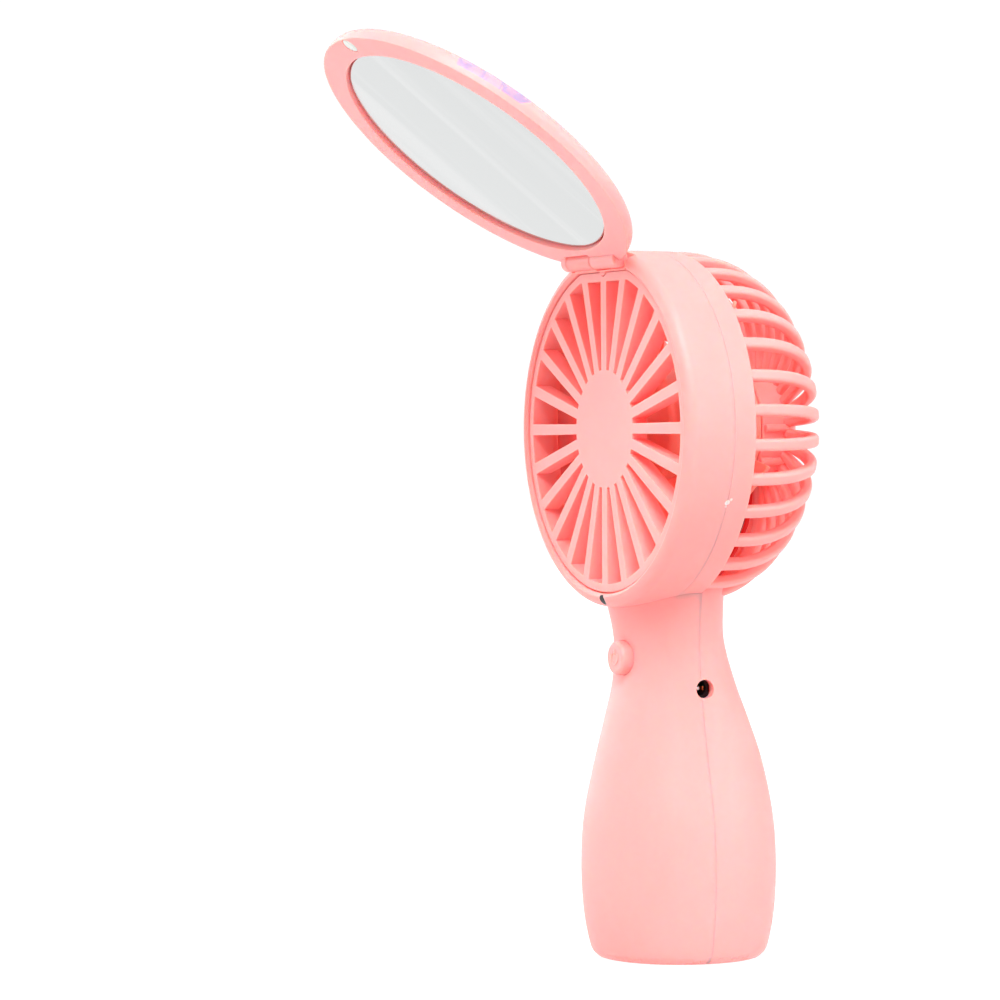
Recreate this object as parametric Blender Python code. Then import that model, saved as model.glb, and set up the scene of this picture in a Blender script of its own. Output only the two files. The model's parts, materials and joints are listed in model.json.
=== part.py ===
"""A handheld electric fan with a hinged mirror lid, as an assembly of separate pieces.

Everything is modelled in millimetres, and the last step turns it into metres. The fan stands on
its base at the origin, +Z is up, the air leaves towards -Y, and +X is on the right of someone
who faces it.
"""

import math

import bmesh
import bpy
from mathutils import Matrix, Vector

MM = 0.001
GAP = 0.3                   # clearance between neighbouring pieces
SEAM_MERGE = 0.002          # points closer than this after a Boolean become one

# Head: round housing on an axis along Y, at this height
HUB_Z = 126.5
HEAD_R = 42.5
FACE_Y = -19.8              # front plane of the grille
BEZEL_Y = FACE_Y - 1.0      # the bezel stands proud of the grille
BEZEL_FILLET = 3.0
GRILLE_R = 39.0
SEAM_Y = -8.6               # front and rear housing meet here, round the head
BAND_END_Y = -2.65          # the rear band ends and the ribs start
WALL = 2.2
HEAD_STEPS = 48

# Grille
SPOKES = 24
SPOKE_DEPTH = 4.0
OPENING_R = 36.95
GRILLE_HUB_R = 14.05
GRILLE_CHORD = 37.2         # flat at the top, above the hub's centre
OPENING_CHORD = 35.1
KEY_R = 1.5

# Rear cage: ribs on a quarter ellipse
RIBS = 32
RIB_WIDTH = 2.8
RIB_DEPTH = 2.6
RIB_CENTRE_R = 20.0
RIB_CENTRE_Y = FACE_Y + 19.6
RIB_REACH_R = 22.5
RIB_REACH_Y = 24.5
CUP_R = 14.0
CUP_Y = 15.8
BACK_Y = 25.4

# Handle: height, half width along X, half depth along Y, centre in Y
STATIONS = [
    (0.0, 19.5, 19.5, 0.0),
    (1.2, 20.75, 20.75, 0.0),
    (4.0, 21.7, 21.7, 0.0),
    (11.0, 22.9, 22.9, 0.0),
    (22.0, 23.45, 23.45, 0.0),
    (34.0, 22.7, 22.7, 0.0),
    (47.0, 20.1, 20.1, 0.0),
    (57.0, 18.1, 17.0, -0.5),
    (66.0, 16.7, 14.0, -1.2),
    (76.0, 15.9, 12.3, -2.5),
    (84.0, 16.6, 13.0, -3.4),
    (92.0, 17.9, 14.2, -4.2),
]
HANDLE_WALL = 2.0
HANDLE_STEPS = 32
FRONT_SEAM_Y = -3.1
REAR_SEAM_Y = FRONT_SEAM_Y + GAP
FLOOR = 2.4
CAVITY_TOP = 83.3
WEB_HEIGHTS = (15.0, 45.0)  # webs that cradle the battery cell
WEB = 1.6

# Lid, modelled closed, about its hinge axis
HINGE_Y = -21.6
HINGE_Z = HUB_Z + 40.0
HINGE_REACH = 40.2          # hinge axis to the lid's centre
LID_OPEN = 127.3            # degrees from closed, in the rest pose
LID_R = 42.3
LID_EDGE = 4.4
LID_CROWN = 5.3
LID_FILLET = 3.0
RIM_Y = 0.5                 # the lid's inner face, behind the hinge axis when it is closed
RECESS_R = 35.7
RECESS = 3.9
MIRROR_R = 35.4
MIRROR_SINK = 0.95
MIRROR_THICK = 1.5
KNUCKLE_R = 2.1
KNUCKLE_GAP = 0.2           # the lid's knuckles clear the pocket's floor by this much
PIN_R = 0.75
POCKET_LEFT = -14.8
POCKET_RIGHT = 12.2
POCKET_BACK = -17.3
BASE_KNUCKLE = (-11.7, -0.3)
LID_KNUCKLES = ((-14.4, -12.05), (0.1, 11.7))
MAGNET_ROW = 39.8           # magnets lie this far below the lid's centre when it is closed

# Button, board and jack
BUTTON_Z = 71.8
BUTTON_R = 4.1
BUTTON_Y = -17.3
JACK_Y = -1.9
JACK_Z = 64.8
JACK_HOLE_R = 2.25
BOARD_Y = -4.6
BOARD_THICK = 1.0

# Battery and motor
CELL_R = 9.1
CELL_LOW = 5.0
CELL_HIGH = 55.0
MOTOR_R = 10.2
MOTOR_FRONT = 0.4
MOTOR_REAR = 17.6
SHAFT_R = 1.0

# Impeller
BLADES = 5
BLADE_TURN = 49.0                 # where the first blade stands, in degrees below three o'clock
BLADE_R = 36.0
IMPELLER_HUB_R = 14.0
IMPELLER_FRONT = -9.0
IMPELLER_REAR = 15.3

# Screws: place in X and Z, all driven from the back
HOUSING_SCREWS = {
    "housing_screw_neck": (0.0, 80.4),
    "housing_screw_left": (-14.6, 15.0),
    "housing_screw_right": (14.6, 15.0),
}
SCREW_SEAT_Y = 3.0
BOARD_SCREWS = {"board_screw_lower": (-5.5, 59.0), "board_screw_upper": (6.0, 77.0)}

COLOURS = {
    "shell": ((0.93, 0.50, 0.47), 0.42, 0.0),
    "blade": ((0.93, 0.42, 0.42), 0.40, 0.0),
    "glass": ((0.82, 0.84, 0.84), 0.05, 1.0),
    "foam": ((0.85, 0.85, 0.82), 0.95, 0.0),
    "steel": ((0.62, 0.62, 0.63), 0.28, 1.0),
    "magnet": ((0.55, 0.55, 0.54), 0.30, 1.0),
    "brass": ((0.78, 0.58, 0.25), 0.30, 1.0),
    "black": ((0.015, 0.015, 0.016), 0.45, 0.0),
    "board": ((0.03, 0.22, 0.08), 0.50, 0.0),
    "cell": ((0.10, 0.28, 0.62), 0.35, 0.0),
    "red_wire": ((0.60, 0.02, 0.02), 0.50, 0.0),
    "black_wire": ((0.02, 0.02, 0.02), 0.50, 0.0),
}


def clear_scene():
    """Removes what the scene holds."""
    for thing in list(bpy.data.objects):
        bpy.data.objects.remove(thing)


def material(name):
    """The named colour as a Principled material, made once."""
    found = bpy.data.materials.get(name)
    if found:
        return found
    colour, roughness, metallic = COLOURS[name]
    made = bpy.data.materials.new(name)
    made.use_nodes = True
    shader = made.node_tree.nodes["Principled BSDF"]
    shader.inputs["Base Color"].default_value = (*colour, 1.0)
    shader.inputs["Roughness"].default_value = roughness
    shader.inputs["Metallic"].default_value = metallic
    return made


def make(name, bm, finish="shell"):
    """An object from a bmesh, with its faces pointing out."""
    bmesh.ops.recalc_face_normals(bm, faces=bm.faces)
    mesh = bpy.data.meshes.new(name)
    bm.to_mesh(mesh)
    bm.free()
    thing = bpy.data.objects.new(name, mesh)
    bpy.context.scene.collection.objects.link(thing)
    mesh.materials.append(material(finish))
    return thing


def smooth(thing, angle=35):
    """Round faces shade smooth, and edges sharper than the angle stay sharp."""
    thing.data.shade_smooth()
    thing.data.set_sharp_from_angle(angle=math.radians(angle))
    return thing


def arc(centre_r, centre_h, radius, start, end, count):
    """Points of a circular arc from start to end degrees, in (r, h)."""
    points = []
    for i in range(count + 1):
        angle = math.radians(start + (end - start) * i / count)
        points.append((centre_r + radius * math.cos(angle), centre_h + radius * math.sin(angle)))
    return points


def turned(name, profile, axis, centre=(0, 0, 0), steps=HEAD_STEPS, finish="shell", closed=True):
    """A solid turned about an axis: the profile is (r, h), with h along the axis from the centre.

    An open profile starts and ends on the axis.
    """
    bm = bmesh.new()
    place = {
        "X": lambda r, h: (h, r, 0),
        "Y": lambda r, h: (r, h, 0),
        "Z": lambda r, h: (r, 0, h),
    }[axis]
    direction = {"X": (1, 0, 0), "Y": (0, 1, 0), "Z": (0, 0, 1)}[axis]
    verts = [bm.verts.new(place(r, h)) for r, h in profile]
    count = len(verts)
    edges = [bm.edges.new((verts[i], verts[i + 1])) for i in range(count - 1)]
    if closed:
        edges.append(bm.edges.new((verts[-1], verts[0])))
    bmesh.ops.spin(bm, geom=verts + edges, cent=(0, 0, 0), axis=direction, angle=math.tau,
                   steps=steps, use_merge=True)
    bmesh.ops.remove_doubles(bm, verts=bm.verts, dist=0.0005)
    bmesh.ops.translate(bm, vec=centre, verts=bm.verts)
    return make(name, bm, finish)


def rod(name, radius, low, high, axis, centre=(0, 0, 0), steps=24, finish="shell", chamfer=0.0):
    """A round rod along an axis, from low to high, with an optional chamfer at both ends."""
    c = chamfer
    profile = [(0, low), (radius - c, low), (radius, low + c), (radius, high - c),
               (radius - c, high), (0, high)]
    if not c:
        profile = [(0, low), (radius, low), (radius, high), (0, high)]
    return turned(name, profile, axis, centre, steps, finish, closed=False)


def box(name, low, high, finish="shell", bevel=0.0):
    """A block from its lowest to its highest corner, with an optional bevel on its edges."""
    bm = bmesh.new()
    bmesh.ops.create_cube(bm, size=1.0)
    size = Vector(high) - Vector(low)
    bmesh.ops.scale(bm, vec=size, verts=bm.verts)
    bmesh.ops.translate(bm, vec=(Vector(high) + Vector(low)) / 2, verts=bm.verts)
    if bevel:
        bmesh.ops.bevel(bm, geom=bm.edges, offset=bevel, segments=1, affect="EDGES")
    return make(name, bm, finish)


def combine(target, tool, operation):
    """Applies a Boolean to the target and removes the tool."""
    step = target.modifiers.new(operation.lower(), "BOOLEAN")
    step.operation = operation
    step.object = tool
    graph = bpy.context.evaluated_depsgraph_get()
    result = bpy.data.meshes.new_from_object(target.evaluated_get(graph))
    target.modifiers.clear()
    bm = bmesh.new()
    bm.from_mesh(result)
    bmesh.ops.remove_doubles(bm, verts=bm.verts, dist=SEAM_MERGE)
    bmesh.ops.dissolve_degenerate(bm, edges=bm.edges, dist=SEAM_MERGE)
    bm.to_mesh(result)
    bm.free()
    target.data = result
    bpy.data.objects.remove(tool)
    return target


def cut(target, *tools):
    """Cuts each tool out of the target."""
    for tool in tools:
        combine(target, tool, "DIFFERENCE")
    return target


def weld(target, *tools):
    """Joins each tool to the target as one solid."""
    for tool in tools:
        combine(target, tool, "UNION")
    return target


def gather(name, things):
    """Several objects that don't touch, as one mesh."""
    bm = bmesh.new()
    for thing in things:
        bm.from_mesh(thing.data)
        bpy.data.objects.remove(thing)
    mesh = bpy.data.meshes.new(name)
    bm.to_mesh(mesh)
    bm.free()
    mesh.materials.append(material("shell"))
    joined = bpy.data.objects.new(name, mesh)
    bpy.context.scene.collection.objects.link(joined)
    return joined


def copy_of(thing, name):
    """A second object with its own copy of the mesh."""
    twin = bpy.data.objects.new(name, thing.data.copy())
    bpy.context.scene.collection.objects.link(twin)
    return twin


def turn_about_hub(thing, degrees):
    """Turns a mesh about the head's axis."""
    centre = Matrix.Translation((0, 0, HUB_Z))
    thing.data.transform(centre @ Matrix.Rotation(math.radians(degrees), 4, "Y") @ centre.inverted())
    return thing


# ---------------------------------------------------------------- handle

def section(height):
    """Half width, half depth and centre of the handle at a height, on a smooth curve."""
    last = len(STATIONS) - 1
    i = 0
    while i < last - 1 and STATIONS[i + 1][0] <= height:
        i += 1
    before, low, high, after = (STATIONS[min(max(k, 0), last)] for k in (i - 1, i, i + 1, i + 2))
    span = high[0] - low[0]
    t = (height - low[0]) / span
    values = []
    for k in (1, 2, 3):
        slope_low = (high[k] - before[k]) / (high[0] - before[0]) * span
        slope_high = (after[k] - low[k]) / (after[0] - low[0]) * span
        values.append((2 * t**3 - 3 * t**2 + 1) * low[k] + (t**3 - 2 * t**2 + t) * slope_low
                      + (3 * t**2 - 2 * t**3) * high[k] + (t**3 - t**2) * slope_high)
    return values


def handle_loft(name, heights, inset=0.0):
    """A solid through the handle's elliptical sections at the given heights."""
    bm = bmesh.new()
    rings = []
    for height in heights:
        half_width, half_depth, centre = section(height)
        ring = []
        for i in range(HANDLE_STEPS):
            angle = math.tau * (i + 0.5) / HANDLE_STEPS
            ring.append(bm.verts.new(((half_width - inset) * math.cos(angle),
                                      centre + (half_depth - inset) * math.sin(angle), height)))
        rings.append(ring)
    for low, high in zip(rings, rings[1:]):
        for i in range(HANDLE_STEPS):
            j = (i + 1) % HANDLE_STEPS
            bm.faces.new((low[i], low[j], high[j], high[i]))
    bm.faces.new(rings[0])
    bm.faces.new(rings[-1])
    return make(name, bm)


def steps_between(low, high, longest):
    """Evenly spaced values from low to high, at most the given distance apart."""
    count = math.ceil((high - low) / longest)
    return [low + (high - low) * i / count for i in range(count + 1)]


def handle_shell():
    """The whole handle with its floor, its battery webs and its cavities."""
    heights = [0.0, 0.5, 1.4, 4.0, 7.5] + steps_between(12.0, 92.0, 8.0)
    shell = handle_loft("handle", heights)
    levels = [FLOOR]
    for web in WEB_HEIGHTS:
        levels += [web - WEB / 2, web + WEB / 2]
    levels.append(CAVITY_TOP)
    for low, high in zip(levels[::2], levels[1::2]):
        cut(shell, handle_loft("cavity", steps_between(low, high, 9.0), HANDLE_WALL))
    cut(shell, rod("cell_bore", CELL_R + GAP, FLOOR + 0.1, 58.0, "Z", steps=32))
    return shell


def half_space(name, low_y, high_y):
    """A block that covers the whole fan between two planes across Y."""
    return box(name, (-80, low_y, -20), (80, high_y, 200))


def screw_pillar(name, place, radius, low_y, high_y, steps=20):
    """A round pillar along Y at a screw's place."""
    return rod(name, radius, low_y, high_y, "Y", (place[0], 0, place[1]), steps)


def inside_handle(pillar):
    """Trims a pillar to the handle's outer surface, a little below it."""
    return combine(pillar, handle_loft("limit", steps_between(4.0, 92.0, 7.0), 0.7), "INTERSECT")


# ---------------------------------------------------------------- housings

def hinge_pocket_and_knuckle(housing):
    """Flat bridge, pocket, knuckle and bore at the top of the bezel, where the lid hangs."""
    bridge_low = HUB_Z + GRILLE_CHORD + 0.15
    weld(housing, box("bridge", (-12.4, BEZEL_Y + 0.05, bridge_low), (12.4, -15.2, HUB_Z + 39.6)))
    weld(housing, rod("key", KEY_R, BEZEL_Y + 0.9, -15.6, "Y", (0, 0, bridge_low + 0.5), 16))
    floor = HINGE_Z - KNUCKLE_R - KNUCKLE_GAP
    cut(housing, box("pocket", (POCKET_LEFT, -30, floor), (POCKET_RIGHT, POCKET_BACK, HINGE_Z + 6)))
    left, right = BASE_KNUCKLE
    weld(housing, rod("knuckle", KNUCKLE_R, left, right, "X", (0, HINGE_Y, HINGE_Z), 24))
    weld(housing, box("knuckle_web", (left + 0.4, HINGE_Y + 0.2, floor - 0.15),
                      (right - 0.4, POCKET_BACK + 0.6, HINGE_Z + 0.7)))
    cut(housing, rod("bore", PIN_R + GAP, left - 1, right + 1, "X", (0, HINGE_Y, HINGE_Z), 16))


def front_housing(shell):
    """Bezel ring and front half of the handle, one moulding."""
    housing = copy_of(shell, "front_housing")
    cut(housing, half_space("rear_space", FRONT_SEAM_Y, 80))
    head_clearance = [(0, -60), (HEAD_R - 1.3, -60), (HEAD_R - 1.3, SEAM_Y - 0.15),
                      (HEAD_R + GAP, SEAM_Y - 0.15), (HEAD_R + GAP, 20), (0, 20)]
    cut(housing, turned("head_clearance", head_clearance, "Y", (0, 0, HUB_Z), closed=False))
    inner = HEAD_R - WALL
    ledge = FACE_Y + 5.8
    ring = [(GRILLE_R + GAP, BEZEL_Y + 0.3), (GRILLE_R + 0.6, BEZEL_Y)]
    ring += arc(HEAD_R - BEZEL_FILLET, BEZEL_Y + BEZEL_FILLET, BEZEL_FILLET, -84, 0, 5)
    ring += [(HEAD_R, SEAM_Y), (inner, SEAM_Y), (inner, ledge + 1.4), (37.6, ledge + 1.4),
             (37.6, ledge), (GRILLE_R + GAP, ledge)]
    weld(housing, turned("bezel", ring, "Y", (0, 0, HUB_Z)))
    hinge_pocket_and_knuckle(housing)
    for place in HOUSING_SCREWS.values():
        weld(housing, inside_handle(screw_pillar("boss", place, 2.8, -30, FRONT_SEAM_Y - 0.15, 16)))
        cut(housing, screw_pillar("pilot", place, 1.35, FRONT_SEAM_Y - 7.5, 0, 16))
    for place in BOARD_SCREWS.values():
        weld(housing, inside_handle(screw_pillar("post", place, 1.9, -30, BOARD_Y - GAP, 12)))
        cut(housing, screw_pillar("post_pilot", place, 1.05, -9.5, 0, 12))
    cut(housing, rod("button_hole", BUTTON_R + GAP, -30, -6, "Y", (0, 0, BUTTON_Z), 32),
        rod("jack_hole", JACK_HOLE_R, 11, 40, "X", (0, JACK_Y, JACK_Z), 24),
        rod("magnet_hole", 1.15 + GAP, -40, BEZEL_Y + 2.8, "Y", (0, 0, HUB_Z - MAGNET_ROW - 0.9), 16))
    return smooth(housing)


def rib_outline(offset, count=5):
    """A rib's path in (r, y) from the band to the cup, moved inwards by the offset."""
    path = [(HEAD_R - offset, BAND_END_Y - 2.0)]
    for i in range(count + 1):
        angle = math.pi / 2 * i / count
        path.append((RIB_CENTRE_R + (RIB_REACH_R - offset) * math.cos(angle),
                     RIB_CENTRE_Y + (RIB_REACH_Y - offset) * math.sin(angle)))
    path.append((CUP_R - 1.6, RIB_CENTRE_Y + RIB_REACH_Y - offset))
    return path


def rib(width, outer_offset=0.0, inner_offset=RIB_DEPTH):
    """One rib of the cage at three o'clock. It narrows towards the cup."""
    bm = bmesh.new()
    outer, inner = rib_outline(outer_offset), rib_outline(inner_offset)
    rings = []
    for outside, inside in zip(outer, inner):
        half = width / 2 * min(1.0, 0.80 + 0.20 * (outside[0] - CUP_R) / 10)
        rings.append([bm.verts.new((r, y, HUB_Z + side * half))
                      for (r, y), side in ((outside, 1), (outside, -1), (inside, -1), (inside, 1))])
    for first, second in zip(rings, rings[1:]):
        for i in range(4):
            j = (i + 1) % 4
            bm.faces.new((first[i], first[j], second[j], second[i]))
    bm.faces.new(rings[0])
    bm.faces.new(rings[-1])
    return make("rib", bm)


def cage():
    """Rear band, ribs, back hub and motor cup."""
    tongue_r = HEAD_R - WALL - GAP
    band = [(HEAD_R, SEAM_Y + GAP), (HEAD_R, BAND_END_Y), (39.2, BAND_END_Y), (39.2, SEAM_Y - 3.0),
            (tongue_r, SEAM_Y - 3.0), (tongue_r, SEAM_Y + GAP)]
    body = turned("cage", band, "Y", (0, 0, HUB_Z))
    inner_r = MOTOR_R + 0.4
    cup = [(0, BACK_Y - 2.0), (inner_r, BACK_Y - 2.0), (inner_r, CUP_Y), (CUP_R, CUP_Y),
           (CUP_R, BACK_Y - 0.8), (CUP_R - 0.8, BACK_Y), (0, BACK_Y)]
    cup_body = turned("cup", cup, "Y", (0, 0, HUB_Z), 32, closed=False)
    pitch = 360 / RIBS
    ribs = [turn_about_hub(rib(RIB_WIDTH), pitch * (i + 0.5)) for i in range(RIBS)]
    bosses = []
    for angle in (0, 180, 3 * pitch):
        boss = rod("boss", 0.95, CUP_Y + 0.4, 22.5, "Y", (CUP_R + 0.3, 0, HUB_Z), 12)
        bosses.append(turn_about_hub(boss, angle))
    weld(cup_body, gather("cup_bosses", bosses))
    weld(cup_body, gather("ribs", ribs))
    weld(body, cup_body)
    spine = turn_about_hub(rib(5.2, 0.3, RIB_DEPTH - 0.3), 90)
    return weld(body, spine)


def rear_housing(shell):
    """Rear half of the handle with the cage, one moulding."""
    housing = copy_of(shell, "rear_housing")
    cut(housing, half_space("front_space", -80, REAR_SEAM_Y))
    hollow = [(0, -60)] + [(r, y if i else -60) for i, (r, y) in enumerate(rib_outline(RIB_DEPTH + 0.25))]
    hollow[-1] = (0, hollow[-1][1])
    cut(housing, turned("head_hollow", hollow, "Y", (0, 0, HUB_Z), closed=False))
    weld(housing, cage())
    for place in HOUSING_SCREWS.values():
        weld(housing, inside_handle(screw_pillar("boss", place, 3.6, REAR_SEAM_Y + 0.15, 30, 20)))
        hole = [(0, -10), (1.35, -10), (1.35, SCREW_SEAT_Y), (2.5, SCREW_SEAT_Y), (2.5, 40), (0, 40)]
        cut(housing, turned("screw_hole", hole, "Y", (place[0], 0, place[1]), 16, closed=False))
    lead_holes = [rod("lead_hole", 1.6, 83.0, 89.5, "Z", (side * 5.5, 4.6, 0), 12) for side in (-1, 1)]
    cut(housing, rod("jack_hole", JACK_HOLE_R, 11, 40, "X", (0, JACK_Y, JACK_Z), 24),
        gather("lead_holes", lead_holes),
        box("lead_slot", (-2.0, 18.6, HUB_Z - 15.5), (2.0, 21.3, HUB_Z - 8.5)))
    return smooth(housing)


def front_grille():
    """Round insert with a flat hub, straight spokes and snap hooks."""
    back = FACE_Y + 5.5
    ring = [(OPENING_R, FACE_Y), (GRILLE_R - 0.3, FACE_Y), (GRILLE_R, FACE_Y + 0.3),
            (GRILLE_R, back), (OPENING_R, back)]
    grille = turned("front_grille", ring, "Y", (0, 0, HUB_Z))
    spokes = []
    for i in range(SPOKES):
        bm = bmesh.new()
        bmesh.ops.create_cube(bm, size=1.0)
        for vert in bm.verts:
            outer = vert.co.x > 0
            half = 1.35 if outer else 1.2
            vert.co = Vector((OPENING_R + 0.9 if outer else GRILLE_HUB_R - 1.0,
                              FACE_Y + 0.01 + (SPOKE_DEPTH if vert.co.y > 0 else 0),
                              HUB_Z + math.copysign(half, vert.co.z)))
        spokes.append(turn_about_hub(make("spoke", bm), 360 / SPOKES * i))
    hub = rod("hub", GRILLE_HUB_R, FACE_Y, FACE_Y + 2.0, "Y", (0, 0, HUB_Z), 48)
    weld(hub, gather("spokes", spokes))
    weld(grille, hub)
    weld(grille, box("chord_band", (-10.5, FACE_Y + 0.02, HUB_Z + OPENING_CHORD),
                     (10.5, back - 0.02, HUB_Z + GRILLE_CHORD + 0.5)))
    hooks = []
    for angle in (45, 135, 225, 315):
        arm = box("arm", (36.2, back - 1.5, HUB_Z - 2.5), (37.2, back + 3.2, HUB_Z + 2.5))
        barb = box("barb", (36.6, back + 2.3, HUB_Z - 2.4), (38.2, back + 3.1, HUB_Z + 2.4))
        hooks.append(turn_about_hub(weld(arm, barb), angle))
    weld(grille, gather("hooks", hooks))
    cut(grille, box("top", (-30, -40, HUB_Z + GRILLE_CHORD), (30, 0, HUB_Z + 60)),
        rod("key_notch", KEY_R + GAP, -40, 0, "Y", (0, 0, HUB_Z + GRILLE_CHORD + GAP + 0.5), 16))
    return smooth(grille)


# ---------------------------------------------------------------- lid

def lid_parts():
    """Lid, mirror, pad and magnet, on an empty that stands on the hinge axis."""
    hinge = bpy.data.objects.new("lid_hinge_axis", None)
    bpy.context.scene.collection.objects.link(hinge)
    hinge.location = (0, HINGE_Y, HINGE_Z)
    hinge.rotation_euler = (math.radians(-LID_OPEN), 0, 0)
    centre = (0, RIM_Y, -HINGE_REACH)

    def inward(profile):
        """Turns a height above the rim plane into a place along Y, which runs the other way."""
        return [(r, -n) for r, n in profile]

    bulge = LID_CROWN - LID_EDGE
    crown_r = LID_R - LID_FILLET
    outer = [(LID_R - 0.4, 0.0), (LID_R, 0.4)]
    outer += arc(crown_r, LID_EDGE - LID_FILLET, LID_FILLET, 0, 85, 4)
    outer += [(r, LID_EDGE + bulge * (1 - (r / crown_r) ** 2)) for r in (30.0, 15.0, 0.0)]
    inner = [(0, RECESS), (RECESS_R, RECESS), (RECESS_R, 0.3), (RECESS_R + 0.3, 0.0)]
    lid = turned("lid", inward(inner + outer), "Y", centre, closed=False)
    for left, right in LID_KNUCKLES:
        weld(lid, rod("knuckle", KNUCKLE_R, left, right, "X", steps=24))
    left, right = BASE_KNUCKLE
    cut(lid, box("notch", (left - GAP, -8, -KNUCKLE_R - 0.7), (right + GAP, 4, 6)),
        rod("bore", PIN_R + GAP, -16, 10.8, "X", steps=16),
        rod("magnet_hole", 2.0 + GAP, RIM_Y - 1.9, RIM_Y + 2, "Y",
            (0, 0, -HINGE_REACH - MAGNET_ROW), 20))
    smooth(lid)
    mirror = rod("mirror", MIRROR_R, RIM_Y - MIRROR_SINK - MIRROR_THICK, RIM_Y - MIRROR_SINK, "Y",
                 (0, 0, -HINGE_REACH), HEAD_STEPS, "glass", 0.35)
    pad_top = RIM_Y - MIRROR_SINK - MIRROR_THICK - GAP
    pad = rod("mirror_adhesive_pad", 32.0, pad_top - 0.8, pad_top, "Y", (0, 0, -HINGE_REACH), 32, "foam")
    magnet = rod("lid_magnet", 2.0, RIM_Y - 1.6, RIM_Y - 0.2, "Y",
                 (0, 0, -HINGE_REACH - MAGNET_ROW), 20, "magnet", 0.15)
    for piece in (lid, smooth(mirror), pad, smooth(magnet)):
        piece.parent = hinge


def hinge_hardware():
    """Steel pin through the knuckles, and the small magnet in the bezel."""
    smooth(rod("hinge_pin", PIN_R, -14.2, 10.4, "X", (0, HINGE_Y, HINGE_Z), 16, "steel", 0.1))
    smooth(rod("bezel_magnet", 1.15, BEZEL_Y + 0.25, BEZEL_Y + 2.4, "Y",
               (0, 0, HUB_Z - MAGNET_ROW - 0.9), 16, "magnet", 0.1))


# ---------------------------------------------------------------- rotor and motor

def blade():
    """One twisted blade at three o'clock, thinner at its edges."""
    bm = bmesh.new()
    across, along = 5, 4
    grid = {}
    for i in range(along + 1):
        t = i / along
        radius = IMPELLER_HUB_R - 0.7 + (BLADE_R - IMPELLER_HUB_R + 0.7) * t
        spread = math.radians(50 + 4 * t)
        rise = 13.5 - 1.5 * t
        lean = math.radians(10) * t
        for j in range(across + 1):
            s = j / across
            angle = spread * (s - 0.5) + lean
            y = -0.8 + rise * (s - 0.5) - 2.2 * math.sin(math.pi * s)
            half = 0.35 + 0.35 * math.sin(math.pi * s)
            for side in (-1, 1):
                grid[i, j, side] = bm.verts.new((radius * math.cos(angle), y + side * half,
                                                 HUB_Z + radius * math.sin(angle)))
    for i in range(along):
        for j in range(across):
            for side in (-1, 1):
                bm.faces.new([grid[a, b, side] for a, b in
                              ((i, j), (i + 1, j), (i + 1, j + 1), (i, j + 1))])
    for i in range(along):
        for j in (0, across):
            bm.faces.new((grid[i, j, -1], grid[i + 1, j, -1], grid[i + 1, j, 1], grid[i, j, 1]))
    for j in range(across):
        for i in (0, along):
            bm.faces.new((grid[i, j, -1], grid[i, j + 1, -1], grid[i, j + 1, 1], grid[i, j, 1]))
    return make("blade", bm, "blade")


def rotor():
    """Impeller and motor shaft, with their origin on the head's axis."""
    wall = 1.3
    front = IMPELLER_FRONT
    inner_r = IMPELLER_HUB_R - wall
    cup = [(0, front), (IMPELLER_HUB_R - 1.5, front), (IMPELLER_HUB_R, front + 1.5),
           (IMPELLER_HUB_R, IMPELLER_REAR), (inner_r, IMPELLER_REAR), (inner_r, front + 1.8),
           (3.0, front + 1.8), (3.0, -1.6), (SHAFT_R + GAP, -1.6), (SHAFT_R + GAP, front + 2.4),
           (0, front + 2.4)]
    impeller = turned("impeller", cup, "Y", (0, 0, HUB_Z), 40, "blade", closed=False)
    blades = [turn_about_hub(blade(), 360 / BLADES * i + BLADE_TURN) for i in range(BLADES)]
    weld(impeller, gather("blades", blades))
    shaft = rod("motor_shaft", SHAFT_R, front + 2.8, 6.0, "Y", (0, 0, HUB_Z), 16, "steel", 0.15)
    for piece in (smooth(impeller), smooth(shaft)):
        piece.data.transform(Matrix.Translation((0, 0, -HUB_Z)))
        piece.location = (0, 0, HUB_Z)


def motor():
    """Motor can with its front boss, rear end cap, terminals and the two leads."""
    bore = SHAFT_R + GAP
    can = [(0, 7.0), (bore, 7.0), (bore, MOTOR_FRONT - 1.0), (3.0, MOTOR_FRONT - 1.0), (3.0, MOTOR_FRONT),
           (MOTOR_R - 1.0, MOTOR_FRONT), (MOTOR_R, MOTOR_FRONT + 1.0), (MOTOR_R, MOTOR_REAR),
           (0, MOTOR_REAR)]
    smooth(turned("motor_can", can, "Y", (0, 0, HUB_Z), 28, "steel", closed=False))
    cap_end = MOTOR_REAR + GAP + 1.6
    smooth(rod("motor_end_cap", 9.4, MOTOR_REAR + GAP, cap_end, "Y", (0, 0, HUB_Z), 28, "black", 0.3))
    for side, name in ((-1, "left"), (1, "right")):
        low = (side * 4.0 - 1.0, cap_end + GAP, HUB_Z - 2.4)
        high = (side * 4.0 + 1.0, cap_end + GAP + 1.4, HUB_Z + 0.6)
        box(f"motor_terminal_{name}", low, high, "brass", 0.12)


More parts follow.
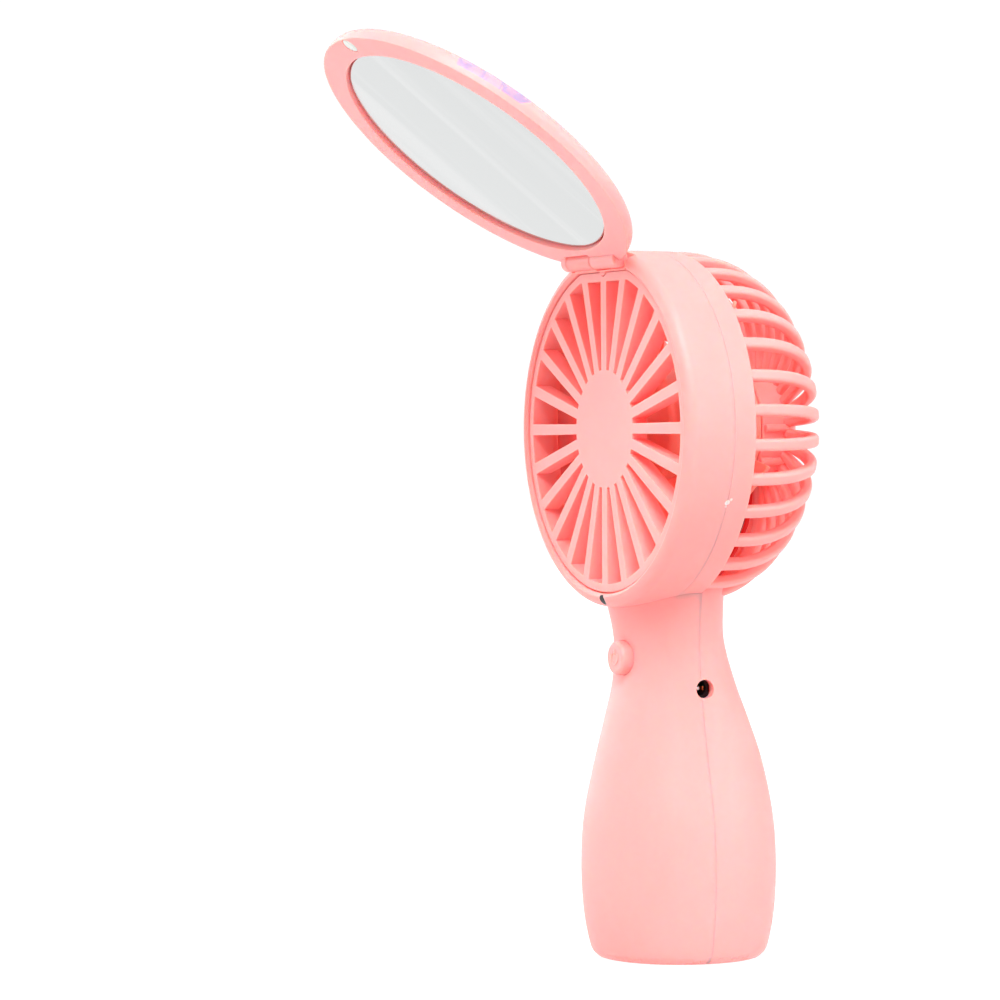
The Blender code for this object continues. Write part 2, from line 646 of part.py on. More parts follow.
def lead(name, points, finish, radius=0.6):
    """An insulated wire through the given points, rounded at its bends."""
    curve = bpy.data.curves.new(name, "CURVE")
    curve.dimensions = "3D"
    curve.bevel_depth = radius
    curve.bevel_resolution = 1
    curve.use_fill_caps = True
    spline = curve.splines.new("POLY")
    vectors = [Vector(p) for p in points]
    path = []
    for i in range(len(vectors) - 1):
        before, low, high, after = (vectors[min(max(k, 0), len(vectors) - 1)]
                                    for k in (i - 1, i, i + 1, i + 2))
        for k in range(2):
            t = k / 2
            path.append(0.5 * (2 * low + (high - before) * t
                               + (2 * before - 5 * low + 4 * high - after) * t**2
                               + (3 * low - before - 3 * high + after) * t**3))
    path.append(vectors[-1])
    spline.points.add(len(path) - 1)
    for point, place in zip(spline.points, path):
        point.co = (*place, 1.0)
    thing = bpy.data.objects.new(name, curve)
    bpy.context.scene.collection.objects.link(thing)
    curve.materials.append(material(finish))


def motor_leads():
    """The pair of wires from the motor, behind the spine and through the roof of the neck."""
    for side, name, finish in ((-1, "motor_lead_black", "black_wire"), (1, "motor_lead_red", "red_wire")):
        lead(name, [(side * 2.6, 20.4, HUB_Z - 3.6), (side * 1.5, 20.2, HUB_Z - 6.5),
                    (side * 0.95, 20.0, HUB_Z - 10.0), (side * 0.95, 19.9, HUB_Z - 16.0),
                    (side * 0.95, 18.8, HUB_Z - 23.0), (side * 1.1, 15.4, HUB_Z - 29.5),
                    (side * 2.8, 10.6, HUB_Z - 34.6), (side * 5.0, 5.8, HUB_Z - 37.3),
                    (side * 5.6, 4.2, HUB_Z - 40.0), (side * 5.6, 4.2, HUB_Z - 43.5),
                    (side * 5.4, 2.2, 77.5), (side * 4.6, -1.2, 73.0), (side * 4.4, -2.6, 71.5)], finish)


# ---------------------------------------------------------------- handle contents

def button_and_switch():
    """Power button, with a flange behind the wall, and the switch that it presses."""
    flange_y = -11.3
    cap = [(0, BUTTON_Y), (BUTTON_R - 0.8, BUTTON_Y), (BUTTON_R - 0.25, BUTTON_Y + 0.25),
           (BUTTON_R, BUTTON_Y + 0.8), (BUTTON_R, flange_y), (5.1, flange_y), (5.1, flange_y + 0.9),
           (0, flange_y + 0.9)]
    button = turned("power_button", cap, "Y", (0, 0, 0), 32, "shell", closed=False)
    plunger = rod("tact_switch_plunger", 1.7, -10.1, -7.2, "Y", (0, 0, 0), 20, "black", 0.1)
    for piece in (smooth(button), smooth(plunger)):
        piece.location = (0, 0, BUTTON_Z)
    switch = box("tact_switch_body", (-3.0, -8.6, BUTTON_Z - 3.0), (3.0, BOARD_Y - GAP, BUTTON_Z + 3.0),
                 "black", 0.2)
    cut(switch, rod("plunger_hole", 1.7 + GAP, -12, -5.8, "Y", (0, 0, BUTTON_Z), 20))


def board():
    """Circuit board with its charging chip, and the two screws that hold it."""
    plate = box("circuit_board", (-8.0, BOARD_Y, 56.0), (8.0, BOARD_Y + BOARD_THICK, 78.6), "board")
    for place in BOARD_SCREWS.values():
        cut(plate, screw_pillar("hole", place, 1.15, -12, 4, 16))
    cut(plate, rod("neck_boss_clearance", 4.1, -12, 4, "Y", (0, 0, 80.4), 24),
        box("jack_corner", (5.9, -12, 50.0), (12, 4, 69.6)))
    chip_y = BOARD_Y + BOARD_THICK + GAP
    box("charge_chip", (-4.5, chip_y, 62.5), (-0.5, chip_y + 1.4, 67.5), "black", 0.15)
    for name, place in BOARD_SCREWS.items():
        head_y = BOARD_Y + BOARD_THICK + GAP
        screw(name, place, head_y, 0.75, 1.7, 1.0, 5.0)


def screw(name, place, seat_y, shank_r, head_r, head_height, length):
    """A pan head screw that points to the front, with a cross recess in its head."""
    profile = [(0, seat_y - length), (shank_r * 0.4, seat_y - length), (shank_r, seat_y - length + 1.0),
               (shank_r, seat_y), (head_r, seat_y), (head_r, seat_y + head_height * 0.5),
               (head_r * 0.7, seat_y + head_height), (0, seat_y + head_height)]
    body = turned(name, profile, "Y", (place[0], 0, place[1]), 12, "steel", closed=False)
    top = seat_y + head_height
    arm, slot = head_r * 0.55, head_r * 0.13
    for half_x, half_z in ((arm, slot), (slot, arm)):
        cut(body, box("recess", (place[0] - half_x, top - head_height * 0.5, place[1] - half_z),
                      (place[0] + half_x, top + 1, place[1] + half_z)))
    smooth(body)


def jack():
    """Charging jack behind its hole: body with a round socket, centre pin and contact spring."""
    low_x, high_x = 6.9, 13.5
    body = box("dc_jack_body", (low_x, JACK_Y - 2.7, JACK_Z - 3.2), (high_x, JACK_Y + 2.9, JACK_Z + 3.2),
               "black", 0.25)
    cut(body, rod("socket", 1.95, low_x + 1.0, high_x + 1, "X", (0, JACK_Y, JACK_Z), 24))
    smooth(rod("dc_jack_pin", 0.6, low_x + 1.0 + GAP, high_x - 0.4, "X", (0, JACK_Y, JACK_Z), 12, "steel",
               0.2))
    box("dc_jack_contact", (low_x + 1.4, JACK_Y + 1.2, JACK_Z - 0.5), (high_x - 0.5, JACK_Y + 1.5, JACK_Z + 0.5),
        "brass")


def battery():
    """Cylindrical cell on a foam pad, its tabs and its two leads."""
    rod("battery_foam_pad", 8.6, FLOOR + GAP, CELL_LOW - GAP, "Z", steps=24, finish="foam")
    smooth(rod("battery_cell", CELL_R, CELL_LOW, CELL_HIGH, "Z", steps=32, finish="cell", chamfer=0.6))
    smooth(rod("battery_cap", 2.8, CELL_HIGH + GAP, CELL_HIGH + 1.4, "Z", steps=20, finish="steel",
               chamfer=0.2))
    lead("battery_lead_red", [(0.6, 0.2, CELL_HIGH + 2.3), (-1.5, 0.0, 58.6), (-3.6, -1.2, 59.6),
                              (-4.0, -2.6, 60.6)], "red_wire")
    lead("battery_lead_black", [(5.6, 2.0, CELL_HIGH + 0.9), (5.4, 1.4, 57.6), (3.4, -0.6, 59.4),
                                (2.6, -2.6, 60.4)], "black_wire")


def to_metres():
    """Scales every mesh, wire and place from millimetres to metres."""
    shrink = Matrix.Scale(MM, 4)
    for thing in bpy.data.objects:
        thing.location *= MM
        if thing.type == "MESH":
            thing.data.transform(shrink)
        elif thing.type == "CURVE":
            thing.data.bevel_depth *= MM
            for point in thing.data.splines[0].points:
                point.co = (*(point.co.xyz * MM), 1.0)


def main():
    """Builds the fan, from its housings to its screws."""
    clear_scene()
    shell = handle_shell()
    front_housing(shell)
    rear_housing(shell)
    bpy.data.objects.remove(shell)
    front_grille()
    lid_parts()
    hinge_hardware()
    rotor()
    motor()
    motor_leads()
    button_and_switch()
    board()
    jack()
    battery()
    for name, place in HOUSING_SCREWS.items():
        screw(name, place, SCREW_SEAT_Y + GAP, 1.05, 2.1, 1.6, 12.0)
    to_metres()


main()
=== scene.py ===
"""A handheld fan with a hinged mirror lid: its finished pieces and finishes around the frame.

Each sub-assembly is a class that holds its sizes in millimetres. A piece is modelled in
millimetres where the frame has it, and turned into metres when it is settled on its body.
"""

import json
import logging
import math
from collections.abc import Callable, Iterator, Sequence
from contextlib import contextmanager
from dataclasses import dataclass, field
from enum import Enum
from typing import Any

import bmesh
import bpy
from mathutils import Matrix, Vector

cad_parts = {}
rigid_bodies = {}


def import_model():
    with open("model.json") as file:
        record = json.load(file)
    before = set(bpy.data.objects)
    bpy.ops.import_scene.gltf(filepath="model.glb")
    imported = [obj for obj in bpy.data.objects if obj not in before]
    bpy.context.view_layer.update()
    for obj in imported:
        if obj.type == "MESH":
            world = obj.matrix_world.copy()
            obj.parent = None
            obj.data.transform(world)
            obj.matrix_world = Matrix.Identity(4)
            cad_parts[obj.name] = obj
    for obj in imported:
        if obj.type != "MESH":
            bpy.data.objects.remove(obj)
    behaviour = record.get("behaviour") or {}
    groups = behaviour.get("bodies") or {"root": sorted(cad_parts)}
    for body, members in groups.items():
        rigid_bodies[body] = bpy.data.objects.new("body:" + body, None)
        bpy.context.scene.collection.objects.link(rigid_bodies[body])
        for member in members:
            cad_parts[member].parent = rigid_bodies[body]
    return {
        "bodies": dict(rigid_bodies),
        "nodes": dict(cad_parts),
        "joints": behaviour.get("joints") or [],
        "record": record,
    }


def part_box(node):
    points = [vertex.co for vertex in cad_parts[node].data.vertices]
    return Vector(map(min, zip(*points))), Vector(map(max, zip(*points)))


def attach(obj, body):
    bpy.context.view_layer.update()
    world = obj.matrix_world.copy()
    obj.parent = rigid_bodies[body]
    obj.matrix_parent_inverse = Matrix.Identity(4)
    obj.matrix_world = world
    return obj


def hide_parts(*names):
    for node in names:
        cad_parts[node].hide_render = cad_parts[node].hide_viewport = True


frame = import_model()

LOG = logging.getLogger("fan")
MM = 0.001                     # one millimetre in metres
WELD = 0.001                   # millimetres: points closer than this are one point
CLEAR = 40.0                   # millimetres: past the surface that a cutter has to leave
FINE = 256                     # faces round the large pieces
SEAM = 0.006                   # millimetres: the shut line between two housings
BAND_R = 42.5                  # millimetres: the head's outside
GATE_TURN = -24.0              # degrees above three o'clock: where the moulding's gate was
GATE_Y = -8.6                  # millimetres: how far back it was

Thing = bpy.types.Object
Socket = bpy.types.NodeSocket
Profile = Sequence[tuple[float, float]]


class Axis(Enum):
    """The direction that a piece is turned about."""

    X = (1.0, 0.0, 0.0)
    Y = (0.0, 1.0, 0.0)
    Z = (0.0, 0.0, 1.0)

    def place(self, radius: float, along: float) -> Vector:
        """The point at a radius and at a distance along this axis.

        Args:
            radius: How far from the axis.
            along: How far along it.

        Returns:
            The point.
        """
        if self is Axis.X:
            return Vector((along, radius, 0.0))
        if self is Axis.Y:
            return Vector((radius, along, 0.0))
        return Vector((radius, 0.0, along))


class Merge(Enum):
    """What a second solid does to a piece."""

    CUT = "DIFFERENCE"
    JOIN = "UNION"
    KEEP = "INTERSECT"


class Body(Enum):
    """The bodies that pieces ride on."""

    HANDLE = "handle_body"
    LID = "lid_body"
    ROTOR = "rotor"
    BUTTON = "button_body"


class Slot(Enum):
    """The record's material slots; each new piece is built with one, which nothing reads."""

    SHELL = "shell"
    BLADE = "blade"
    MIRROR = "mirror"
    MAGNET = "magnet"


# ---------------------------------------------------------------- modelling


def deselect_all() -> None:
    """Leaves edit mode and selects nothing."""
    active = bpy.context.view_layer.objects.active
    if active and active.mode != "OBJECT":
        bpy.ops.object.mode_set(mode="OBJECT")
    bpy.ops.object.select_all(action="DESELECT")


def pick(*things: Thing) -> None:
    """Selects these things alone and makes the first one active.

    Args:
        *things: The objects.
    """
    deselect_all()
    for thing in things:
        thing.select_set(True)
    bpy.context.view_layer.objects.active = things[0]


@contextmanager
def editing(thing: Thing, kind: str = "VERT", everything: bool = False) -> Iterator[None]:
    """Opens a thing in edit mode, and closes it afterwards.

    Args:
        thing: The mesh object to edit.
        kind: What is selected: VERT, EDGE or FACE.
        everything: Starts with all of it selected, where it otherwise starts with nothing.

    Yields:
        Nothing.
    """
    pick(thing)
    bpy.ops.object.mode_set(mode="EDIT")
    bpy.ops.mesh.select_mode(type=kind)
    bpy.ops.mesh.select_all(action="SELECT" if everything else "DESELECT")
    yield
    bpy.ops.object.mode_set(mode="OBJECT")


def select_edges(thing: Thing, wanted: Callable[[bmesh.types.BMEdge], bool]) -> None:
    """Selects the wanted edges of the thing that is being edited.

    Args:
        thing: The mesh object.
        wanted: Says of an edge whether it is wanted.
    """
    mesh = bmesh.from_edit_mesh(thing.data)
    for edge in mesh.edges:
        if wanted(edge):
            edge.select_set(True)
    bmesh.update_edit_mesh(thing.data)


def clean(thing: Thing, outward: bool = False) -> Thing:
    """Merges double points and drops faces with no area.

    Args:
        thing: The mesh object.
        outward: Also turn every face outwards.

    Returns:
        The same object.
    """
    with editing(thing, everything=True):
        bpy.ops.mesh.remove_doubles(threshold=WELD)
        bpy.ops.mesh.dissolve_degenerate(threshold=WELD)
        if outward:
            bpy.ops.mesh.select_all(action="SELECT")
            bpy.ops.mesh.normals_make_consistent(inside=False)
    return thing


def chain(name: str, points: Sequence[Vector], closed: bool = False) -> Thing:
    """Draws edges from point to point by extruding one vertex.

    Args:
        name: The object's name.
        points: The corners, in order.
        closed: Go back to the first point at the end.

    Returns:
        A mesh object with edges alone.
    """
    deselect_all()
    bpy.ops.mesh.primitive_plane_add(size=1.0)
    thing = bpy.context.object
    thing.name = name
    path = list(points) + ([points[0]] if closed else [])
    with editing(thing, everything=True):
        bpy.ops.mesh.merge(type="CENTER")
        bpy.ops.transform.translate(value=path[0])
        for before, after in zip(path, path[1:]):
            bpy.ops.mesh.extrude_region_move(TRANSFORM_OT_translate={"value": after - before})
        bpy.ops.mesh.select_all(action="SELECT")
        bpy.ops.mesh.remove_doubles(threshold=WELD)
    return thing


def lathe(name: str, profile: Profile, axis: Axis, centre: Sequence[float] = (0.0, 0.0, 0.0),
          steps: int = 192, closed: bool = False) -> Thing:
    """Spins a profile into a solid.

    Args:
        name: The object's name.
        profile: Points as (radius, distance along the axis from the centre).
        axis: The axis to spin about.
        centre: A point on the axis.
        steps: Faces round the full turn.
        closed: True for a ring, whose profile never meets the axis.

    Returns:
        The closed mesh object.
    """
    middle = Vector(centre)
    thing = chain(name, [middle + axis.place(r, h) for r, h in profile], closed)
    with editing(thing, everything=True):
        bpy.ops.mesh.spin(steps=steps, angle=math.tau, center=middle, axis=axis.value,
                          use_auto_merge=True)
    return clean(thing, outward=True)


def rod(name: str, radius: float, low: float, high: float, axis: Axis,
        centre: Sequence[float] = (0.0, 0.0, 0.0), steps: int = 48, chamfer: float = 0.0) -> Thing:
    """A round rod along an axis, with an optional chamfer at both ends.

    Args:
        name: The object's name.
        radius: Its radius.
        low: Where it starts along the axis.
        high: Where it ends.
        axis: The axis it lies along.
        centre: A point on the axis.
        steps: Faces round it.
        chamfer: The chamfer at both ends, or 0 for none.

    Returns:
        The closed mesh object.
    """
    c = chamfer
    profile = [(0, low), (radius - c, low), (radius, low + c), (radius, high - c), (radius - c, high),
               (0, high)]
    if not c:
        profile = [(0, low), (radius, low), (radius, high), (0, high)]
    return lathe(name, profile, axis, centre, steps)


def block(name: str, low: Sequence[float], high: Sequence[float], bevel: float = 0.0,
          segments: int = 3) -> Thing:
    """A block between two corners, with its edges bevelled.

    Args:
        name: The object's name.
        low: The corner with the low coordinates.
        high: The corner with the high ones.
        bevel: The width of the bevel, or 0 for none.
        segments: Faces across the bevel.

    Returns:
        The closed mesh object.
    """
    deselect_all()
    bpy.ops.mesh.primitive_cube_add(size=1.0)
    thing = bpy.context.object
    thing.name = name
    thing.location = (Vector(low) + Vector(high)) / 2
    thing.scale = Vector(high) - Vector(low)
    bpy.ops.object.transform_apply(location=True, rotation=False, scale=True)
    if bevel:
        with editing(thing, "EDGE", everything=True):
            bpy.ops.mesh.bevel(offset=bevel, segments=segments)
    return thing


def arc(centre_r: float, centre_h: float, radius: float, start: float, end: float,
        count: int) -> list[tuple[float, float]]:
    """Points of a circular arc in (radius, height), between two angles in degrees.

    Args:
        centre_r: The radius of the arc's centre.
        centre_h: Its height.
        radius: How large the arc is.
        start: The first angle.
        end: The last angle.
        count: Steps between them.

    Returns:
        The points, both ends included.
    """
    points = []
    for i in range(count + 1):
        angle = math.radians(start + (end - start) * i / count)
        points.append((centre_r + radius * math.cos(angle), centre_h + radius * math.sin(angle)))
    return points


def apply_modifier(thing: Thing, kind: str, **settings: Any) -> Thing:
    """Adds a modifier with the given settings and applies it.

    Args:
        thing: The mesh object.
        kind: The modifier's type.
        **settings: Properties of the modifier.

    Returns:
        The same object.
    """
    pick(thing)
    step = thing.modifiers.new(kind.lower(), kind)
    for key, value in settings.items():
        setattr(step, key, value)
    bpy.ops.object.modifier_apply(modifier=step.name)
    return thing


def combine(thing: Thing, tool: Thing, how: Merge) -> Thing:
    """Cuts, joins or trims a thing with a tool, and removes the tool.

    Args:
        thing: The mesh object.
        tool: The other closed mesh.
        how: What the tool does.

    Returns:
        The same object.
    """
    apply_modifier(thing, "BOOLEAN", operation=how.value, solver="MANIFOLD", object=tool)
    bpy.data.objects.remove(tool)
    return clean(thing)


def cut(thing: Thing, *tools: Thing) -> Thing:
    """Cuts each tool out of the thing.

    Args:
        thing: The mesh object.
        *tools: The closed meshes to take away.

    Returns:
        The same object.
    """
    for tool in tools:
        combine(thing, tool, Merge.CUT)
    return thing


def join(thing: Thing, *tools: Thing) -> Thing:
    """Makes each tool one solid with the thing.

    Args:
        thing: The mesh object.
        *tools: The closed meshes to add.

    Returns:
        The same object.
    """
    for tool in tools:
        combine(thing, tool, Merge.JOIN)
    return thing


def turn(thing: Thing, degrees: float, axis: Axis, centre: Vector) -> Thing:
    """Turns a mesh about an axis through a centre.

    Args:
        thing: The mesh object.
        degrees: How far.
        axis: The direction it turns about.
        centre: A point on the axis.

    Returns:
        The same object.
    """
    there = Matrix.Translation(centre)
    spin = Matrix.Rotation(math.radians(degrees), 4, Vector(axis.value))
    thing.data.transform(there @ spin @ there.inverted())
    return thing


def round_copies(thing: Thing, angles: Sequence[float], centre: Vector) -> Thing:
    """Copies a thing to each angle about an axis along Y and gathers the copies in one mesh.

    Args:
        thing: The mesh object, which is used up.
        angles: The angle of each copy in degrees.
        centre: A point on the axis.

    Returns:
        The object that holds all the copies.
    """
    copies = []
    for angle in angles:
        twin = thing.copy()
        twin.data = thing.data.copy()
        bpy.context.scene.collection.objects.link(twin)
        copies.append(turn(twin, angle, Axis.Y, centre))
    bpy.data.objects.remove(thing)
    pick(*copies)
    bpy.ops.object.join()
    return copies[0]


def split(thing: Thing, y: float, keep_front: bool) -> Thing:
    """Cuts a closed mesh along a plane across Y and caps it, keeping one side.

    Args:
        thing: The mesh object.
        y: Where the plane is.
        keep_front: Keep what lies before the plane, and not behind it.

    Returns:
        The same object.
    """
    with editing(thing, everything=True):
        bpy.ops.mesh.bisect(plane_co=(0, y, 0), plane_no=(0, 1, 0), use_fill=True,
                            clear_outer=keep_front, clear_inner=not keep_front)
    return clean(thing, outward=True)


def is_sharp(edge: bmesh.types.BMEdge, degrees: float = 35.0) -> bool:
    """True where two faces meet at more than the given angle."""
    return len(edge.link_faces) == 2 and edge.calc_face_angle() > math.radians(degrees)


# ---------------------------------------------------------------- finishes


class Graph:
    """A node tree that is wired in code."""

    def __init__(self, tree: bpy.types.NodeTree) -> None:
        """Starts on an empty tree."""
        self.tree = tree
        tree.nodes.clear()

    def node(self, kind: str, inputs: dict[Any, Any] | None = None, **settings: Any) -> bpy.types.Node:
        """Adds a node.

        Args:
            kind: The node's type, without the ShaderNode in front.
            inputs: Socket name or number, to a value or to the socket that feeds it.
            **settings: Properties of the node.

        Returns:
            The node.
        """
        made = self.tree.nodes.new(f"ShaderNode{kind}")
        for key, value in settings.items():
            setattr(made, key, value)
        for key, value in (inputs or {}).items():
            self.feed(made.inputs[key], value)
        return made

    def feed(self, socket: Socket, value: Any) -> None:
        """Links a socket to the input, or sets its value.

        Args:
            socket: The input.
            value: A socket that feeds it, or a plain value.
        """
        if isinstance(value, bpy.types.NodeSocket):
            self.tree.links.new(value, socket)
        else:
            socket.default_value = value

    def math(self, operation: str, *values: Any, clamp: bool = False) -> Socket:
        """The result of a Math node."""
        return self.node("Math", dict(enumerate(values)), operation=operation, use_clamp=clamp).outputs[0]

    def plus(self, base: Any, value: Any, amount: Any) -> Socket:
        """The base with a share of a value added to it."""
        return self.math("ADD", base, self.math("MULTIPLY", value, amount))

    def swing(self, base: Any, value: Any, amount: Any) -> Socket:
        """The base, moved up and down by a value that lies about one half."""
        return self.plus(base, self.math("SUBTRACT", value, 0.5), amount)

    def vector(self, operation: str, *values: Any) -> bpy.types.Node:
        """A Vector Math node."""
        return self.node("VectorMath", dict(enumerate(values)), operation=operation)

    def mix(self, factor: Any, first: Any, second: Any, blend: str = "MIX") -> Socket:
        """Two colours mixed by a factor."""
        node = self.node("Mix", {0: factor, 6: first, 7: second}, data_type="RGBA", blend_type=blend)
        return node.outputs[2]

    def noise(self, vector: Any, scale: float, detail: float = 2.0, distortion: float = 0.0) -> Socket:
        """A noise value between 0 and 1."""
        return self.node("TexNoise", {"Vector": vector, "Scale": scale, "Detail": detail,
                                      "Distortion": distortion}).outputs["Fac"]

    def between(self, value: Any, low: float, high: float) -> Socket:
        """A smooth step from 0 at the low value to 1 at the high one."""
        return self.node("MapRange", {"Value": value, "From Min": low, "From Max": high},
                         interpolation_type="SMOOTHSTEP").outputs["Result"]

    def group(self, name: str, inputs: dict[str, Any]) -> bpy.types.Node:
        """Places a node group with its own values.

        Args:
            name: The group's name.
            inputs: Socket name to a value or to the socket that feeds it.

        Returns:
            The group's node.
        """
        made = self.tree.nodes.new("ShaderNodeGroup")
        made.node_tree = bpy.data.node_groups[name]
        for key, value in inputs.items():
            self.feed(made.inputs[key], value)
        return made


SOCKET_KINDS = {"float": "NodeSocketFloat", "colour": "NodeSocketColor", "vector": "NodeSocketVector"}


@contextmanager
def new_group(name: str, inputs: dict[str, str], outputs: dict[str, str]) -> Iterator[tuple[Graph, Any, Any]]:
    """Makes a shader node group.

    Args:
        name: The group's name.
        inputs: Socket name to kind: float, colour or vector.
        outputs: The same for the outputs.

    Yields:
        The graph, the sockets that bring the inputs, and the node that takes the outputs.
    """
    tree = bpy.data.node_groups.new(name, "ShaderNodeTree")
    graph = Graph(tree)
    for way, sockets in (("INPUT", inputs), ("OUTPUT", outputs)):
        for label, kind in sockets.items():
            tree.interface.new_socket(label, in_out=way, socket_type=SOCKET_KINDS[kind])
    brought = tree.nodes.new("NodeGroupInput").outputs
    yield graph, brought, tree.nodes.new("NodeGroupOutput").inputs


def make_groups() -> None:
    """Builds the node groups that several finishes share."""
    surface = {"Colour": "colour", "Roughness": "float", "Height": "float"}
    with new_group("moulded_skin", {"Vector": "vector", "Colour": "colour", "Deep Colour": "colour",
                                    "Roughness": "float", "Mottle": "float", "Grain": "float"},
                   surface) as (g, given, out):
        flow = g.noise(given["Vector"], 21.0, 3.0, 0.6)
        cloud = g.between(flow, 0.35, 0.72)
        g.feed(out["Colour"], g.mix(g.math("MULTIPLY", cloud, given["Mottle"]), given["Colour"],
                                    given["Deep Colour"]))
        sheen = g.noise(given["Vector"], 320.0, 3.0)
        g.feed(out["Roughness"], g.swing(given["Roughness"], sheen, 0.14))
        pits = g.node("TexNoise", {"Vector": given["Vector"], "Scale": given["Grain"], "Detail": 4.0,
                                   "Roughness": 0.6}).outputs["Fac"]
        g.feed(out["Height"], pits)

    with new_group("spot", {"Vector": "vector", "Centre": "vector", "Radius": "float", "Ragged": "float"},
                   {"Mask": "float"}) as (g, given, out):
        rag = g.noise(given["Vector"], 900.0, 3.0)
        far = g.vector("DISTANCE", given["Vector"], given["Centre"]).outputs["Value"]
        share = g.math("DIVIDE", g.swing(far, rag, given["Ragged"]), given["Radius"])
        g.feed(out["Mask"], g.between(share, 1.0, 0.7))

    with new_group("blossom", {"Vector": "vector", "Centre": "vector", "Size": "float", "Turn": "float"},
                   {"Petals": "float", "Line": "float", "Heart": "float"}) as (g, given, out):
        away = g.vector("SUBTRACT", given["Vector"], given["Centre"]).outputs["Vector"]
        parts = g.node("SeparateXYZ", {0: away})
        angle = g.math("ADD", g.math("ARCTAN2", parts.outputs["Z"], parts.outputs["X"]), given["Turn"])
        far = g.math("SQRT", g.plus(g.math("POWER", parts.outputs["X"], 2.0),
                                    parts.outputs["Z"], parts.outputs["Z"]))
        lobe = g.math("ABSOLUTE", g.math("COSINE", g.math("MULTIPLY", angle, 2.5)))
        reach = g.math("MULTIPLY", given["Size"], g.plus(0.42, lobe, 0.58))
        share = g.math("DIVIDE", far, reach)
        g.feed(out["Petals"], g.between(share, 1.04, 0.96))
        g.feed(out["Line"], g.between(share, 0.62, 0.86))
        g.feed(out["Heart"], g.between(g.math("DIVIDE", far, given["Size"]), 0.24, 0.16))

    with new_group("drawn_metal", {"Vector": "vector", "Colour": "colour", "Roughness": "float",
                                   "Stretch": "vector"}, surface) as (g, given, out):
        along = g.vector("MULTIPLY", given["Vector"], given["Stretch"]).outputs["Vector"]
        lines = g.noise(along, 1.0, 3.0)
        stain = g.noise(given["Vector"], 260.0, 2.0)
        dull = g.mix(0.8, given["Colour"], given["Colour"], "MULTIPLY")
        g.feed(out["Colour"], g.mix(g.between(stain, 0.45, 0.8), given["Colour"], dull))
        g.feed(out["Roughness"], g.swing(given["Roughness"], lines, 0.22))
        g.feed(out["Height"], lines)


Colour = tuple[float, float, float, float]


def darker(colour: Colour, share: float) -> Colour:
    """The colour, brought down to a share of its brightness."""
    return (colour[0] * share, colour[1] * share, colour[2] * share, 1.0)


@dataclass(frozen=True)
class Finish:
    """What every finish has: its name and how to start and end its material."""

    name: str

    def start(self) -> tuple[bpy.types.Material, Graph, Socket, bpy.types.Node]:
        """Makes the material.

        Returns:
            The material, its graph, the place on the piece in metres, and its Principled shader.
        """
        made = bpy.data.materials.new(self.name)
        made.use_nodes = True
        graph = Graph(made.node_tree)
        shader = graph.node("BsdfPrincipled")
        graph.node("OutputMaterial", {"Surface": shader.outputs[0]})
        place = graph.node("TexCoord").outputs["Object"]
        return made, graph, place, shader

    def coat(self, graph: Graph, shader: bpy.types.Node, colour: Any, roughness: Any, height: Socket,
             depth: float) -> None:
        """Feeds the shader.

        Args:
            graph: The material's graph.
            shader: Its Principled shader.
            colour: The base colour.
            roughness: The roughness.
            height: The height of the bumps, from 0 to 1.
            depth: The height's full swing in metres.
        """
        graph.feed(shader.inputs["Base Color"], colour)
        graph.feed(shader.inputs["Roughness"], roughness)
        lifted = graph.node("Bump", {"Strength": 1.0, "Distance": depth, "Height": height})
        graph.feed(shader.inputs["Normal"], lifted.outputs["Normal"])


